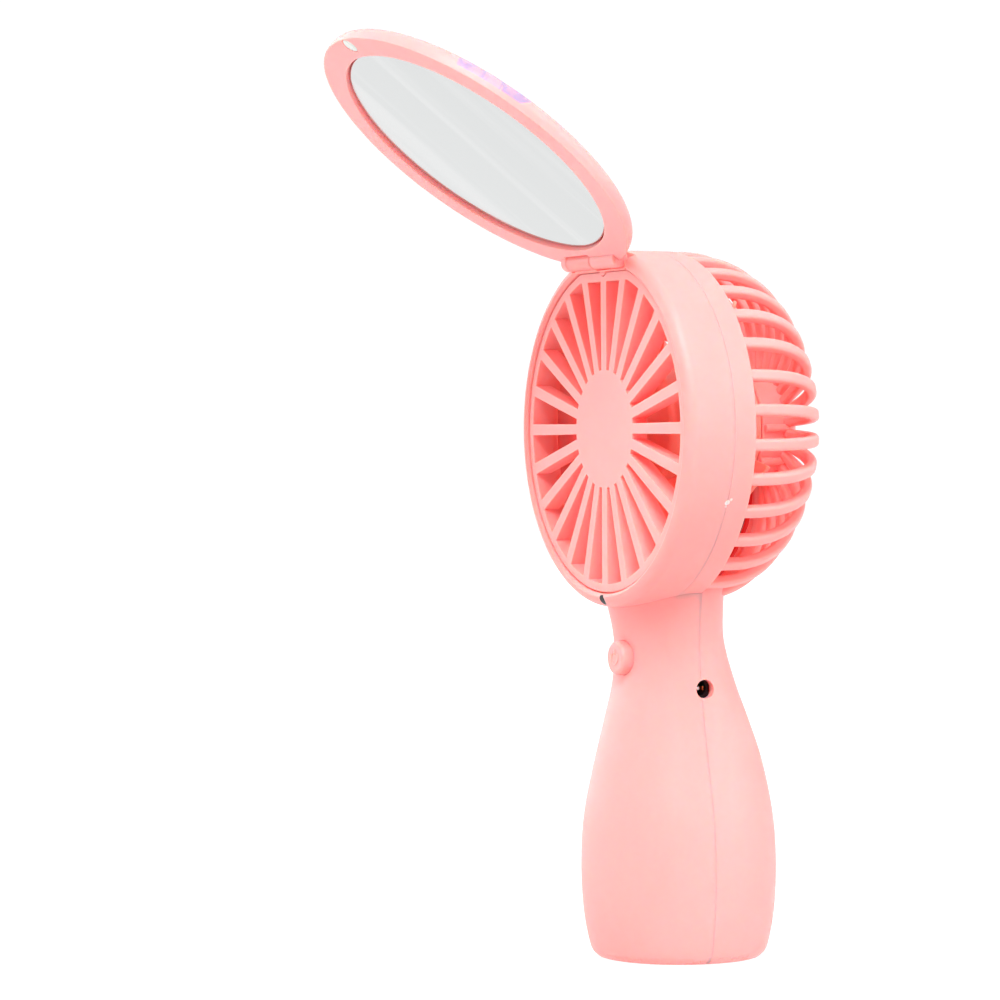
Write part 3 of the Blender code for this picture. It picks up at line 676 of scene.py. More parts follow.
@dataclass(frozen=True)
class MouldedPlastic(Finish):
    """Moulded plastic with a fine grain, a flow mottle and a little light passing through it."""

    colour: Colour
    deep: Colour
    roughness: float = 0.42
    mottle: float = 0.55
    grain: float = 2600.0
    grain_depth: float = 0.000012
    glow: float = 0.0
    glow_depth: float = 0.0050
    glow_spread: tuple[float, float, float] = (1.0, 0.28, 0.16)
    specular: float = 0.30
    gate: tuple[float, float, float] | None = None
    gate_colour: Colour = (1.0, 0.86, 0.84, 1.0)
    gate_spots: tuple[tuple[float, float, float], ...] = (
        (0.0, 0.0, 0.00075), (0.0009, 0.0009, 0.00055), (-0.0002, -0.0011, 0.0006),
        (-0.0009, -0.0019, 0.0004))
    # a darker, bumpy band in ragged patches along the bottom edge
    darker_bottom_edge: bool = False
    bottom_edge_colour: Colour = (0.62, 0.30, 0.28, 1.0)

    def make(self) -> bpy.types.Material:
        """Builds the material.

        Returns:
            The material.
        """
        made, g, place, shader = self.start()
        skin = g.group("moulded_skin", {"Vector": place, "Colour": self.colour, "Deep Colour": self.deep,
                                        "Roughness": self.roughness, "Mottle": self.mottle,
                                        "Grain": self.grain})
        colour, height = skin.outputs["Colour"], skin.outputs["Height"]
        if self.gate:
            mark = self.gate_mark(g, place)
            colour = g.mix(g.math("MULTIPLY", mark, 0.5), colour, self.gate_colour)
            height = g.plus(height, mark, 8.0)
        # the grip turns darker and bumpy in ragged patches along its bottom two millimetres
        if self.darker_bottom_edge:
            bottom_edge = self.bottom_edge_mask(g, place)
            height = g.plus(height, bottom_edge, 18.0)
            colour = g.mix(g.math("MULTIPLY", bottom_edge, 0.35), colour, self.bottom_edge_colour)
        colour = self.decorate(g, place, colour)
        shader.inputs["Specular IOR Level"].default_value = self.specular
        shader.inputs["Subsurface Weight"].default_value = self.glow
        shader.inputs["Subsurface Radius"].default_value = self.glow_spread
        shader.inputs["Subsurface Scale"].default_value = self.glow_depth
        self.coat(g, shader, colour, skin.outputs["Roughness"], height, self.grain_depth)
        return made

    def decorate(self, g: Graph, place: Socket, colour: Socket) -> Socket:
        """Lets a decorated plastic print on its colour.

        Args:
            g: The material's graph.
            place: The place on the piece in metres.
            colour: The bare colour.

        Returns:
            The colour with its print.
        """
        return colour

    def gate_mark(self, g: Graph, place: Socket) -> Socket:
        """A small torn mark where the moulding was cut from its runner.

        Args:
            g: The material's graph.
            place: The place on the piece in metres.

        Returns:
            Its mask.
        """
        x, y, z = self.gate
        total: Any = 0.0
        for dy, dz, radius in self.gate_spots:
            spot = g.group("spot", {"Vector": place, "Centre": (x, y + dy, z + dz), "Radius": radius,
                                    "Ragged": 0.0006})
            total = g.math("MAXIMUM", total, spot.outputs["Mask"])
        return total

    def bottom_edge_mask(self, g: Graph, place: Socket) -> Socket:
        """A ragged band round the edge that the handle stands on, made darker and bumpy.

        Args:
            g: The material's graph.
            place: The place on the piece in metres.

        Returns:
            Its mask.
        """
        height = g.node("SeparateXYZ", {0: place}).outputs["Z"]
        low = g.between(height, 0.0022, 0.0004)
        rag = g.between(g.noise(place, 480.0, 3.0), 0.5, 0.62)
        return g.math("MULTIPLY", low, rag)


@dataclass(frozen=True)
class PrintedPlastic(MouldedPlastic):
    """The lid's plastic, with lilac blossoms printed on its outer face."""

    to_flat: Matrix = field(default_factory=Matrix)
    ink: Colour = (0.27, 0.24, 0.42, 1.0)
    pale_ink: Colour = (0.43, 0.31, 0.39, 1.0)
    heart: Colour = (0.36, 0.27, 0.40, 1.0)
    rim_level: float = 0.0
    # each blossom's x, z and size in metres on the flat lid, and its turn in radians
    blossoms: tuple[tuple[float, float, float, float], ...] = (
        (0.0350, -0.0180, 0.0082, 0.3), (0.0388, -0.0140, 0.0045, 1.1), (0.0335, -0.0232, 0.0040, 0.8),
        (0.0215, -0.0165, 0.0046, 2.0), (-0.0225, 0.0140, 0.0080, 0.5), (-0.0120, 0.0225, 0.0048, 1.4),
        (-0.0300, 0.0040, 0.0045, 0.1), (0.0040, -0.0020, 0.0060, 0.9))

    def decorate(self, g: Graph, place: Socket, colour: Socket) -> Socket:
        """Prints the blossoms, in a frame where the lid is flat across Y and centred.

        Args:
            g: The material's graph.
            place: The place on the piece in metres.
            colour: The bare colour.

        Returns:
            The colour with its print.
        """
        turned = self.to_flat.to_euler()
        moved = self.to_flat.to_translation()
        flat = g.node("Mapping", {"Vector": place, "Location": moved, "Rotation": turned}).outputs["Vector"]
        petals: Any = 0.0
        ink: Any = self.pale_ink
        streak = g.between(g.noise(flat, 700.0, 3.0), 0.35, 0.65)
        for x, z, size, angle in self.blossoms:
            bloom = g.group("blossom", {"Vector": flat, "Centre": (x, 0.0, z), "Size": size,
                                        "Turn": angle}).outputs
            petals = g.math("MAXIMUM", petals, bloom["Petals"])
            line = g.math("MULTIPLY", bloom["Line"], bloom["Petals"])
            line = g.math("MULTIPLY", line, g.plus(0.7, streak, 0.3))
            ink = g.mix(line, ink, self.ink)
            ink = g.mix(bloom["Heart"], ink, self.heart)
        outer = g.between(g.node("SeparateXYZ", {0: flat}).outputs["Y"], self.rim_level,
                          self.rim_level - 0.0004)
        cover = g.math("MULTIPLY", g.math("MULTIPLY", petals, outer), 0.92)
        return g.mix(cover, colour, ink)


@dataclass(frozen=True)
class MirrorGlass(Finish):
    """A silvered mirror, darkened as painted shade, with faint brighter diagonal streaks of painted
    reflection that are also a little rougher.
    """

    # silver darkened to about half of a real mirror's: painted shade that dims all it reflects
    colour: Colour = (0.505, 0.515, 0.515, 1.0)
    # brighter silver along the diagonal streaks: painted reflection
    reflection_streak_colour: Colour = (0.560, 0.567, 0.567, 1.0)
    roughness: float = 0.07
    streak_turn: float = 0.6
    haze_depth: float = 0.0000008

    def make(self) -> bpy.types.Material:
        """Builds the material.

        Returns:
            The material.
        """
        made, g, place, shader = self.start()
        across = g.node("Mapping", {"Vector": place, "Rotation": (0.0, 0.0, self.streak_turn),
                                    "Scale": (90.0, 6.0, 6.0)}).outputs["Vector"]
        streak = g.between(g.noise(across, 1.0, 3.0, 0.4), 0.42, 0.70)
        shader.inputs["Metallic"].default_value = 1.0
        # the streaks brighten the silver as painted reflection and also raise its roughness
        self.coat(g, shader, g.mix(streak, self.colour, self.reflection_streak_colour), g.plus(self.roughness, streak, 0.10),
                  g.noise(place, 700.0), self.haze_depth)
        return made


@dataclass(frozen=True)
class Metal(Finish):
    """Drawn, plated or ground metal."""

    colour: Colour
    roughness: float
    stretch: tuple[float, float, float] = (400.0, 6000.0, 400.0)
    depth: float = 0.000004

    def make(self) -> bpy.types.Material:
        """Builds the material.

        Returns:
            The material.
        """
        made, g, place, shader = self.start()
        skin = g.group("drawn_metal", {"Vector": place, "Colour": self.colour, "Roughness": self.roughness,
                                       "Stretch": self.stretch})
        shader.inputs["Metallic"].default_value = 1.0
        self.coat(g, shader, *skin.outputs[:3], self.depth)
        return made


@dataclass(frozen=True)
class SolderMask(Finish):
    """A circuit board's lacquer over copper tracks."""

    lacquer: Colour = (0.02, 0.20, 0.07, 1.0)
    track: Colour = (0.05, 0.34, 0.12, 1.0)

    def make(self) -> bpy.types.Material:
        """Builds the material.

        Returns:
            The material.
        """
        made, g, place, shader = self.start()
        flat = g.node("Mapping", {"Vector": place, "Rotation": (math.pi / 2, 0.0, 0.0)}).outputs["Vector"]
        brick = g.node("TexBrick", {"Vector": flat, "Scale": 160.0, "Mortar Size": 0.06,
                                    "Brick Width": 0.9, "Row Height": 0.28})
        lines = brick.outputs["Fac"]
        self.coat(g, shader, g.mix(lines, self.lacquer, self.track), g.plus(0.3, g.noise(place, 900.0), 0.2),
                  lines, 0.00003)
        return made


@dataclass(frozen=True)
class Sleeve(Finish):
    """A cell's shrink sleeve, with two pale bands round it."""

    film: Colour = (0.06, 0.24, 0.62, 1.0)
    band: Colour = (0.80, 0.82, 0.85, 1.0)
    bands: tuple[tuple[float, float], ...] = ((0.047, 0.0012), (0.0125, 0.0009))

    def make(self) -> bpy.types.Material:
        """Builds the material.

        Returns:
            The material.
        """
        made, g, place, shader = self.start()
        height = g.node("SeparateXYZ", {0: place}).outputs["Z"]
        colour = g.mix(g.noise(place, 120.0), self.film, darker(self.film, 0.8))
        for middle, half in self.bands:
            far = g.math("ABSOLUTE", g.math("SUBTRACT", height, middle))
            colour = g.mix(g.between(far, half, half * 0.8), colour, self.band)
        self.coat(g, shader, colour, g.plus(0.24, g.noise(place, 260.0), 0.15),
                  g.noise(place, 420.0, 3.0), 0.00005)
        return made


@dataclass(frozen=True)
class FoamTape(Finish):
    """Closed cell foam with a pebbled skin."""

    colour: Colour = (0.80, 0.80, 0.77, 1.0)

    def make(self) -> bpy.types.Material:
        """Builds the material.

        Returns:
            The material.
        """
        made, g, place, shader = self.start()
        cells = g.node("TexVoronoi", {"Vector": place, "Scale": 1700.0}).outputs["Distance"]
        colour = g.mix(g.between(cells, 0.1, 0.7), darker(self.colour, 0.72), self.colour)
        self.coat(g, shader, colour, 0.92, cells, 0.00012)
        return made


WHITE = (1.0, 1.0, 1.0, 1.0)
PINK = (0.965, 0.303, 0.289, 1.0)
DEEP_PINK = (0.950, 0.275, 0.257, 1.0)
# a paler copy of the shell's pink for the lid, which is the same plastic: painted light
LID_PINK_PAINTED_LIGHT = (0.965, 0.345, 0.338, 1.0)


@dataclass
class PaintShop:
    """All the finishes, made once."""

    gate: tuple[float, float, float]
    lid_to_flat: Matrix
    lid_rim_level: float
    made: dict[str, bpy.types.Material] = field(default_factory=dict)

    def __post_init__(self) -> None:
        """Makes the groups and every material."""
        make_groups()
        shell = {"colour": PINK, "deep": DEEP_PINK, "glow": 0.75}
        wires = {"roughness": 0.45, "mottle": 0.4, "grain": 3200.0}
        finishes = [
            MouldedPlastic("shell_pink", gate=self.gate, darker_bottom_edge=True, **shell),
            # the lid's paler pink is painted light on the same plastic as the shell
            PrintedPlastic("lid_pink", to_flat=self.lid_to_flat, rim_level=self.lid_rim_level,
                           **{**shell, "colour": LID_PINK_PAINTED_LIGHT, "deep": PINK}),
            MouldedPlastic("grille_pink", **shell),
            MouldedPlastic("button_pink", roughness=0.36, **shell),
            # the blades are pink plastic; their shift towards orange is painted shade, so the shade seen
            # through the grille and ribs looks orange
            MouldedPlastic("blade_pink_shade_tint", colour=(0.965, 0.29, 0.235, 1.0), deep=(0.95, 0.26, 0.205, 1.0),
                           roughness=0.34, glow=0.75),
            MirrorGlass("mirror_silver"),
            Metal("plated_steel", (0.60, 0.60, 0.61, 1.0), 0.26),
            Metal("magnet_nickel", (0.66, 0.67, 0.64, 1.0), 0.30, (900.0, 900.0, 900.0), 0.000003),
            Metal("magnet_ferrite", (0.035, 0.034, 0.034, 1.0), 0.42, (900.0, 900.0, 900.0), 0.000004),
            Metal("brass", (0.78, 0.57, 0.24, 1.0), 0.30),
            MouldedPlastic("black_plastic", (0.012, 0.012, 0.013, 1.0), (0.02, 0.02, 0.022, 1.0), 0.38,
                           grain=3400.0, grain_depth=0.00001),
            MouldedPlastic("wire_red", (0.58, 0.015, 0.015, 1.0), (0.48, 0.01, 0.01, 1.0), **wires),
            MouldedPlastic("wire_black", (0.015, 0.015, 0.016, 1.0), (0.03, 0.03, 0.03, 1.0), **wires),
            SolderMask("board_green"),
            Sleeve("cell_sleeve"),
            FoamTape("foam_tape"),
        ]
        for finish in finishes:
            self.made[finish.name] = finish.make()

    def __getitem__(self, name: str) -> bpy.types.Material:
        """The finish with this name."""
        return self.made[name]


# ---------------------------------------------------------------- sub-assemblies


@dataclass(frozen=True)
class Anchors:
    """The places that the frame gives, in millimetres."""

    hub: Vector
    hinge: Vector
    face: float
    lid_open: float

    @classmethod
    def read(cls, loaded: dict[str, Any]) -> "Anchors":
        """Reads the joints and the grille's front plane from the frame.

        Args:
            loaded: What the frame holds.

        Returns:
            The places.
        """
        joints = {joint["name"]: joint for joint in loaded["joints"]}
        hub = Vector(joints["impeller_spin"]["pos_m"]) / MM
        hinge = Vector(joints["lid_hinge"]["pos_m"]) / MM
        low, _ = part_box("front_grille")
        return cls(hub, hinge, low.y / MM, -joints["lid_hinge"]["range_deg"][0])


@dataclass
class SubAssembly:
    """What the sub-assemblies share: the frame's places and the paint shop."""

    at: Anchors
    paint: PaintShop

    def settle(self, piece: Thing, name: str, finish: str, body: Body, slot: Slot,
               *replaced: str, angle: float = 32.0) -> Thing:
        """Turns a piece into metres, shades and paints it, and puts it on its body.

        Args:
            piece: The finished mesh, in millimetres where the frame has it.
            name: The piece's name.
            finish: The finish in the paint shop.
            body: The body it rides on.
            slot: The record's material slot; not used.
            *replaced: The CAD nodes it stands for.
            angle: Edges sharper than this stay sharp, in degrees.

        Returns:
            The piece.
        """
        pick(piece)
        piece.name = name
        piece.data.name = name
        piece.scale = (MM, MM, MM)
        bpy.ops.object.transform_apply(location=False, rotation=False, scale=True)
        bpy.ops.object.shade_smooth_by_angle(angle=math.radians(angle))
        apply_modifier(piece, "WEIGHTED_NORMAL", keep_sharp=True, weight=50)
        piece.data.materials.clear()
        piece.data.materials.append(self.paint[finish])
        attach(piece, body.value)
        if replaced:
            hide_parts(*replaced)
        LOG.info("%s: %d faces on %s", name, len(piece.data.polygons), body.value)
        return piece


@dataclass
class Handle:
    """The grip's shape: ellipses up a smooth curve, hollow, split across Y."""

    stations: tuple[tuple[float, float, float, float], ...] = (
        (0.0, 19.5, 19.5, 0.0), (1.2, 20.75, 20.75, 0.0), (4.0, 21.7, 21.7, 0.0),
        (11.0, 22.9, 22.9, 0.0), (22.0, 23.45, 23.45, 0.0), (34.0, 22.7, 22.7, 0.0),
        (47.0, 20.1, 20.1, 0.0), (57.0, 18.1, 17.0, -0.5), (66.0, 16.7, 14.0, -1.2),
        (76.0, 15.9, 12.3, -2.5), (84.0, 16.6, 13.0, -3.4), (92.0, 17.9, 14.2, -4.2))
    sides: int = 128
    wall: float = 2.0
    floor: float = 2.4
    roof: float = 83.3
    rise: float = 2.0
    seam_y: float = -2.95
    top: float = 92.0
    foot: tuple[float, ...] = (0.0, 0.25, 0.6, 1.1, 1.8, 2.8, 4.0, 5.5, 7.5)
    shut_round: float = 0.05
    boss_r: tuple[float, float] = (2.8, 3.6)
    boss_gap: float = 0.3
    boss_sunk: float = 0.7
    shank_r: float = 1.35
    recess_r: float = 2.5
    pilot_depth: float = 7.6
    screws: tuple[tuple[float, float], ...] = ((0.0, 80.4), (-14.6, 15.0), (14.6, 15.0))
    seat_y: float = 3.0

    def section(self, height: float) -> tuple[float, float, float]:
        """Half width, half depth and centre of the grip at a height.

        Args:
            height: Above the base.

        Returns:
            The three sizes, on a smooth curve through the stations.
        """
        rows = self.stations
        i = max(k for k in range(len(rows) - 1) if k == 0 or rows[k][0] <= height)
        before, low, high, after = (rows[min(max(k, 0), len(rows) - 1)] for k in (i - 1, i, i + 1, i + 2))
        span = high[0] - low[0]
        t = (height - low[0]) / span
        values = []
        for k in (1, 2, 3):
            slope_low = (high[k] - before[k]) / (high[0] - before[0]) * span
            slope_high = (after[k] - low[k]) / (after[0] - low[0]) * span
            values.append((2 * t**3 - 3 * t**2 + 1) * low[k] + (t**3 - 2 * t**2 + t) * slope_low
                          + (3 * t**2 - 2 * t**3) * high[k] + (t**3 - t**2) * slope_high)
        return values[0], values[1], values[2]

    def loft(self, name: str, heights: Sequence[float], inset: float = 0.0) -> Thing:
        """A solid through the sections, extruded upwards from a disc.

        Args:
            name: The object's name.
            heights: Where the sections are.
            inset: How far inside the outer surface it runs.

        Returns:
            The closed mesh object.
        """
        deselect_all()
        bpy.ops.mesh.primitive_circle_add(vertices=self.sides, radius=1.0, fill_type="NGON")
        thing = bpy.context.object
        thing.name = name
        width, depth, centre = self.section(heights[0])
        width, depth = width - inset, depth - inset
        with editing(thing, "FACE", everything=True):
            bpy.ops.transform.resize(value=(width, depth, 1.0), center_override=(0, 0, 0))
            bpy.ops.transform.translate(value=(0.0, centre, heights[0]))
            for before, height in zip(heights, heights[1:]):
                new_width, new_depth, new_centre = self.section(height)
                new_width, new_depth = new_width - inset, new_depth - inset
                step = (0.0, new_centre - centre, height - before)
                bpy.ops.mesh.extrude_region_move(TRANSFORM_OT_translate={"value": step})
                bpy.ops.transform.resize(value=(new_width / width, new_depth / depth, 1.0),
                                         center_override=(0.0, new_centre, height))
                width, depth, centre = new_width, new_depth, new_centre
        return clean(thing, outward=True)

    def levels(self, low: float, high: float) -> list[float]:
        """Heights from low to high, a small step apart."""
        count = math.ceil((high - low) / self.rise)
        return [low + (high - low) * i / count for i in range(count + 1)]

    def half(self, front: bool) -> Thing:
        """One half of the hollow grip, with its screw bosses and a fine round on its shut line.

        Args:
            front: The half that faces the button's side.

        Returns:
            The mesh object.
        """
        heights = [*self.foot, *self.levels(self.foot[-1] + self.rise, self.top)]
        shell = self.loft("grip", heights)
        cut(shell, self.loft("grip_hollow", self.levels(self.floor, self.roof), self.wall))
        split(shell, self.seam_y - SEAM / 2 if front else self.seam_y + SEAM / 2, front)
        for x, z in self.screws:
            join(shell, self.boss(x, z, front))
            cut(shell, self.screw_hole(x, z, front))
        with editing(shell, "EDGE"):
            select_edges(shell, lambda e: is_sharp(e, 60) and all(
                abs(v.co.y - self.seam_y) < 0.1 and self.is_outside(v.co) for v in e.verts))
            bpy.ops.mesh.bevel(offset=self.shut_round, segments=2)
        return clean(shell)

    def is_outside(self, point: Vector) -> bool:
        """True on the outer surface, and below the roof.

        Args:
            point: A point of the grip's mesh.

        Returns:
            Whether it is there.
        """
        if point.z > self.roof:
            return False
        width, depth, centre = self.section(point.z)
        return (point.x / width) ** 2 + ((point.y - centre) / depth) ** 2 > 0.97

    def boss(self, x: float, z: float, front: bool) -> Thing:
        """A screw boss that ends inside the wall.

        Args:
            x: Where the screw is.
            z: How high it is.
            front: The front half's boss.

        Returns:
            The closed mesh object.
        """
        if front:
            boss = rod("boss", self.boss_r[0], -CLEAR, self.seam_y - self.boss_gap, Axis.Y, (x, 0.0, z))
        else:
            boss = rod("boss", self.boss_r[1], self.seam_y + self.boss_gap, CLEAR, Axis.Y, (x, 0.0, z))
        return combine(boss, self.loft("boss_limit", self.levels(4.0, self.top), self.boss_sunk), Merge.KEEP)

    def screw_hole(self, x: float, z: float, front: bool) -> Thing:
        """A pilot hole in front, or a shank hole with a deep head recess behind.

        Args:
            x: Where the screw is.
            z: How high it is.
            front: The front half's hole.

        Returns:
            The cutter.
        """
        if front:
            return rod("pilot", self.shank_r, self.seam_y - self.pilot_depth, 0.0, Axis.Y, (x, 0.0, z), 32)
        profile = [(0, -10), (self.shank_r, -10), (self.shank_r, self.seat_y), (self.recess_r, self.seat_y),
                   (self.recess_r, CLEAR), (0, CLEAR)]
        return lathe("screw_hole", profile, Axis.Y, (x, 0.0, z), 48)


@dataclass
class HeadPiece(SubAssembly):
    """What the pieces of the head share: the band's outside, the grip and the socket's hole."""

    handle: Handle = field(default_factory=Handle)
    head_r: float = 42.49
    seam_y: float = -8.475
    proud: float = 1.0
    fillet: float = 3.0
    jack: tuple[float, float, float] = (-1.9, 64.8, 2.25)
    magnet_row: float = 40.7

    def lip(self, end: float, way: int) -> list[tuple[float, float]]:
        """The small round on the band's edge at the shut line.

        Args:
            end: Where the band ends.
            way: 1 where the band goes on behind the line, and -1 where it lies before it.

        Returns:
            The profile's points, from the line outwards.
        """
        return [(self.head_r - 0.07, end), (self.head_r - 0.02, end + 0.02 * way),
                (self.head_r, end + 0.07 * way)]


@dataclass
class FrontShell(HeadPiece):
    """The bezel ring with the hinge's seat, and the front half of the grip."""

    grille_r: float = 39.0
    fit_gap: float = 0.22
    inner_r: float = 40.3
    ledge_r: float = 37.6
    chord: float = 37.2
    knuckle: tuple[float, float] = (-11.7, -0.3)
    knuckle_r: float = 2.1
    pocket: tuple[float, float] = (-14.8, 12.2)
    pocket_back: float = -17.3
    bridge: tuple[float, float] = (12.4, -15.2)
    bridge_top: float = 39.6
    key_r: float = 1.5
    pin_bore: float = 1.05
    button: tuple[float, float] = (71.8, 4.18)
    magnet_bore: float = 1.18

    def ring(self) -> Thing:
        """The bezel ring, with a round lip outside the grille.

        Returns:
            The closed mesh object.
        """
        bezel = self.at.face - self.proud
        hole = self.grille_r + self.fit_gap
        ledge = self.at.face + 5.8
        end = self.seam_y - SEAM / 2
        profile = [(hole, self.at.face - 0.22), (hole + 0.06, self.at.face - 0.36),
                   (hole + 0.18, self.at.face - 0.46), (hole + 0.58, bezel + 0.12)]
        profile += arc(self.head_r - self.fillet, bezel + self.fillet, self.fillet, -80, 0, 14)
        profile += reversed(self.lip(end, -1))
        profile += [(self.inner_r, end), (self.inner_r, ledge + 1.4), (self.ledge_r, ledge + 1.4),
                    (self.ledge_r, ledge), (hole, ledge)]
        return lathe("bezel", profile, Axis.Y, self.at.hub, FINE, closed=True)

    def seat_hinge(self, shell: Thing) -> Thing:
        """Adds the bridge and its key, cuts the pocket and adds the bored knuckle.

        Args:
            shell: The bezel ring.

        Returns:
            The same object.
        """
        hinge, hub = self.at.hinge, self.at.hub
        bezel = self.at.face - self.proud
        low = hub.z + self.chord + 0.15
        half, back = self.bridge
        top = hub.z + self.bridge_top
        join(shell, block("bridge", (-half, bezel + 0.05, low), (half, back, top), 0.08, 1),
             rod("key", self.key_r, bezel + 0.75, back - 0.4, Axis.Y, (0, 0, low + 0.65), 48, 0.1))
        floor = hinge.z - self.knuckle_r - 0.2
        cut(shell, block("pocket", (self.pocket[0], -30.0, floor),
                         (self.pocket[1], self.pocket_back, hinge.z + 8), 0.35))
        left, right = self.knuckle
        join(shell, rod("knuckle", self.knuckle_r, left, right, Axis.X, (0, hinge.y, hinge.z), 64, 0.22),
             block("knuckle_web", (left + 0.4, hinge.y + 0.2, floor - 0.15),
                   (right - 0.4, self.pocket_back + 0.6, hinge.z + 0.7)))
        bore = rod("pin_bore", self.pin_bore, left - 1, right + 1, Axis.X, (0, hinge.y, hinge.z), 32)
        return cut(shell, bore)

    def build(self) -> None:
        """Builds the front housing."""
        hub = self.at.hub
        grip = self.handle.half(front=True)
        inside, outside, step = self.head_r - 1.3, self.head_r + 0.015, self.seam_y - 0.2
        clearance = [(0, -60), (inside, -60), (inside, step), (outside, step), (outside, 20), (0, 20)]
        cut(grip, lathe("clearance", clearance, Axis.Y, hub, FINE))
        shell = join(self.seat_hinge(self.ring()), grip)
        y, z, radius = self.jack
        mouth = [(0, 8), (radius, 8), (radius, 16.35), (radius + 0.35, 16.75), (radius + 0.35, CLEAR),
                 (0, CLEAR)]
        cut(shell, rod("button_hole", self.button[1], -30, -6, Axis.Y, (0, 0, self.button[0]), 64),
            lathe("jack_hole", mouth, Axis.X, (0, y, z), 64),
            rod("magnet_hole", self.magnet_bore, -CLEAR, self.at.face + 1.8, Axis.Y,
                (0, 0, hub.z - self.magnet_row), 40))
        self.settle(shell, "housing_front", "shell_pink", Body.HANDLE, Slot.SHELL, "front_housing")


@dataclass
class RearShell(HeadPiece):
    """The rear band, the ribs, the motor's cup and the rear half of the grip."""

    band_end: float = -2.65
    tongue_r: float = 40.0
    ribs: int = 32
    rib_width: float = 2.8
    rib_depth: float = 2.6
    centre: tuple[float, float] = (20.0, -0.2)
    reach: tuple[float, float] = (22.5, 24.5)
    cup_r: float = 14.0
    cup_bore: float = 10.6
    cup_front: float = 15.8
    back: float = 25.4
    path_steps: int = 22
    spine_width: float = 5.2
    wire_holes: tuple[float, ...] = (-5.5, 5.5)
    wire_hole_r: float = 1.6
    wire_hole_y: float = 4.6
    wire_hole_z: tuple[float, float] = (83.0, 89.5)
    slot_x: tuple[float, float] = (-2.0, 2.0)
    slot_y: tuple[float, float] = (18.6, 21.3)
    slot_below: tuple[float, float] = (-15.5, -8.5)
    plug_r: float = 2.42

    def outline(self, offset: float) -> list[tuple[float, float]]:
        """The rib's path from the band to the cup, moved inwards, as (radius, y).

        Args:
            offset: How far inside the cage's outline.

        Returns:
            The points of the path.
        """
        path = [(self.head_r - offset, self.band_end - 2.0)]
        for i in range(self.path_steps + 1):
            angle = math.pi / 2 * i / self.path_steps
            path.append((self.centre[0] + (self.reach[0] - offset) * math.cos(angle),
                         self.centre[1] + (self.reach[1] - offset) * math.sin(angle)))
        path.append((self.cup_r - 1.6, self.centre[1] + self.reach[1] - offset))
        return path

    def rib(self, width: float, depth: float, sunk: float, rounding: float) -> Thing:
        """One rib at three o'clock, extruded along its path from a rounded section.

        Args:
            width: Its width round the head.
            depth: Its depth.
            sunk: How far its outer face lies inside the cage's outline.
            rounding: The radius of the section's corners.

        Returns:
            The closed mesh object.
        """
        hub = self.at.hub
        path = [Vector((r, y, hub.z)) for r, y in self.outline(sunk + depth / 2)]
        deselect_all()
        bpy.ops.mesh.primitive_plane_add(size=1.0, rotation=(math.pi / 2, 0, 0))
        thing = bpy.context.object
        thing.name = "rib"
        thing.scale = (depth, width, 1.0)
        thing.location = path[0]
        bpy.ops.object.transform_apply(location=True, rotation=True, scale=True)
        heading = (path[1] - path[0]).normalized()
        shrink = 1.0
        with editing(thing, "VERT", everything=True):
            bpy.ops.mesh.bevel(offset=rounding, affect="VERTICES", segments=4)
            bpy.ops.mesh.select_all(action="SELECT")
            for i in range(1, len(path)):
                new_heading = (path[min(i + 1, len(path) - 1)] - path[i - 1]).normalized()
                bpy.ops.mesh.extrude_region_move(TRANSFORM_OT_translate={"value": path[i] - path[i - 1]})
                swing = math.atan2(heading.x * new_heading.y - heading.y * new_heading.x,
                                   heading.dot(new_heading))
                bpy.ops.transform.rotate(value=-swing, orient_axis="Z", center_override=path[i])
                wanted = min(1.0, 0.80 + 0.20 * (path[i].x - self.cup_r) / 10)
                bpy.ops.transform.resize(value=(1, 1, wanted / shrink), center_override=path[i])
                heading, shrink = new_heading, wanted
        return clean(thing, outward=True)

    def cup(self) -> Thing:
        """The motor's cup with its back hub and the small bosses on its side.

        Returns:
            The closed mesh object.
        """
        edge = self.back - 1.1
        front, bore = self.cup_front, self.cup_bore
        profile = [(0, self.back - 2.0), (bore, self.back - 2.0), (bore, front + 0.3), (bore + 0.3, front),
                   (self.cup_r - 0.3, front), (self.cup_r, front + 0.3)]
        profile += arc(self.cup_r - 1.1, edge, 1.1, 0, 85, 6)
        profile += [(9.0, self.back - 0.03), (8.7, self.back - 0.28), (8.2, self.back - 0.30),
                    (0, self.back - 0.30)]
        body = lathe("cup", profile, Axis.Y, self.at.hub, 128)
        boss = rod("boss", 0.95, front + 0.4, 22.4, Axis.Y, (self.cup_r + 0.3, 0, self.at.hub.z), 24, 0.15)
        return join(body, round_copies(boss, (0.0, 180.0, 33.75), self.at.hub))

    def cage(self) -> Thing:
        """Band, ribs and cup as one.

        Returns:
            The closed mesh object.
        """
        start = self.seam_y + SEAM / 2
        ring = [(self.tongue_r, -11.6), (self.tongue_r, start), *self.lip(start, 1)]
        ring += arc(self.head_r - 0.6, self.band_end - 0.6, 0.6, 0, 90, 5)
        ring += [(39.5, self.band_end), (39.2, self.band_end - 0.3), (39.2, -11.6)]
        body = lathe("cage", ring, Axis.Y, self.at.hub, FINE, closed=True)
        pitch = 360 / self.ribs
        rib = self.rib(self.rib_width, self.rib_depth, 0.05, 0.85)
        ribs = round_copies(rib, [pitch * (i + 0.5) for i in range(self.ribs)], self.at.hub)
        join(body, join(self.cup(), ribs))
        spine = turn(self.rib(self.spine_width, self.rib_depth - 0.6, 0.3, 0.5), 90.0, Axis.Y, self.at.hub)
        return join(body, spine)

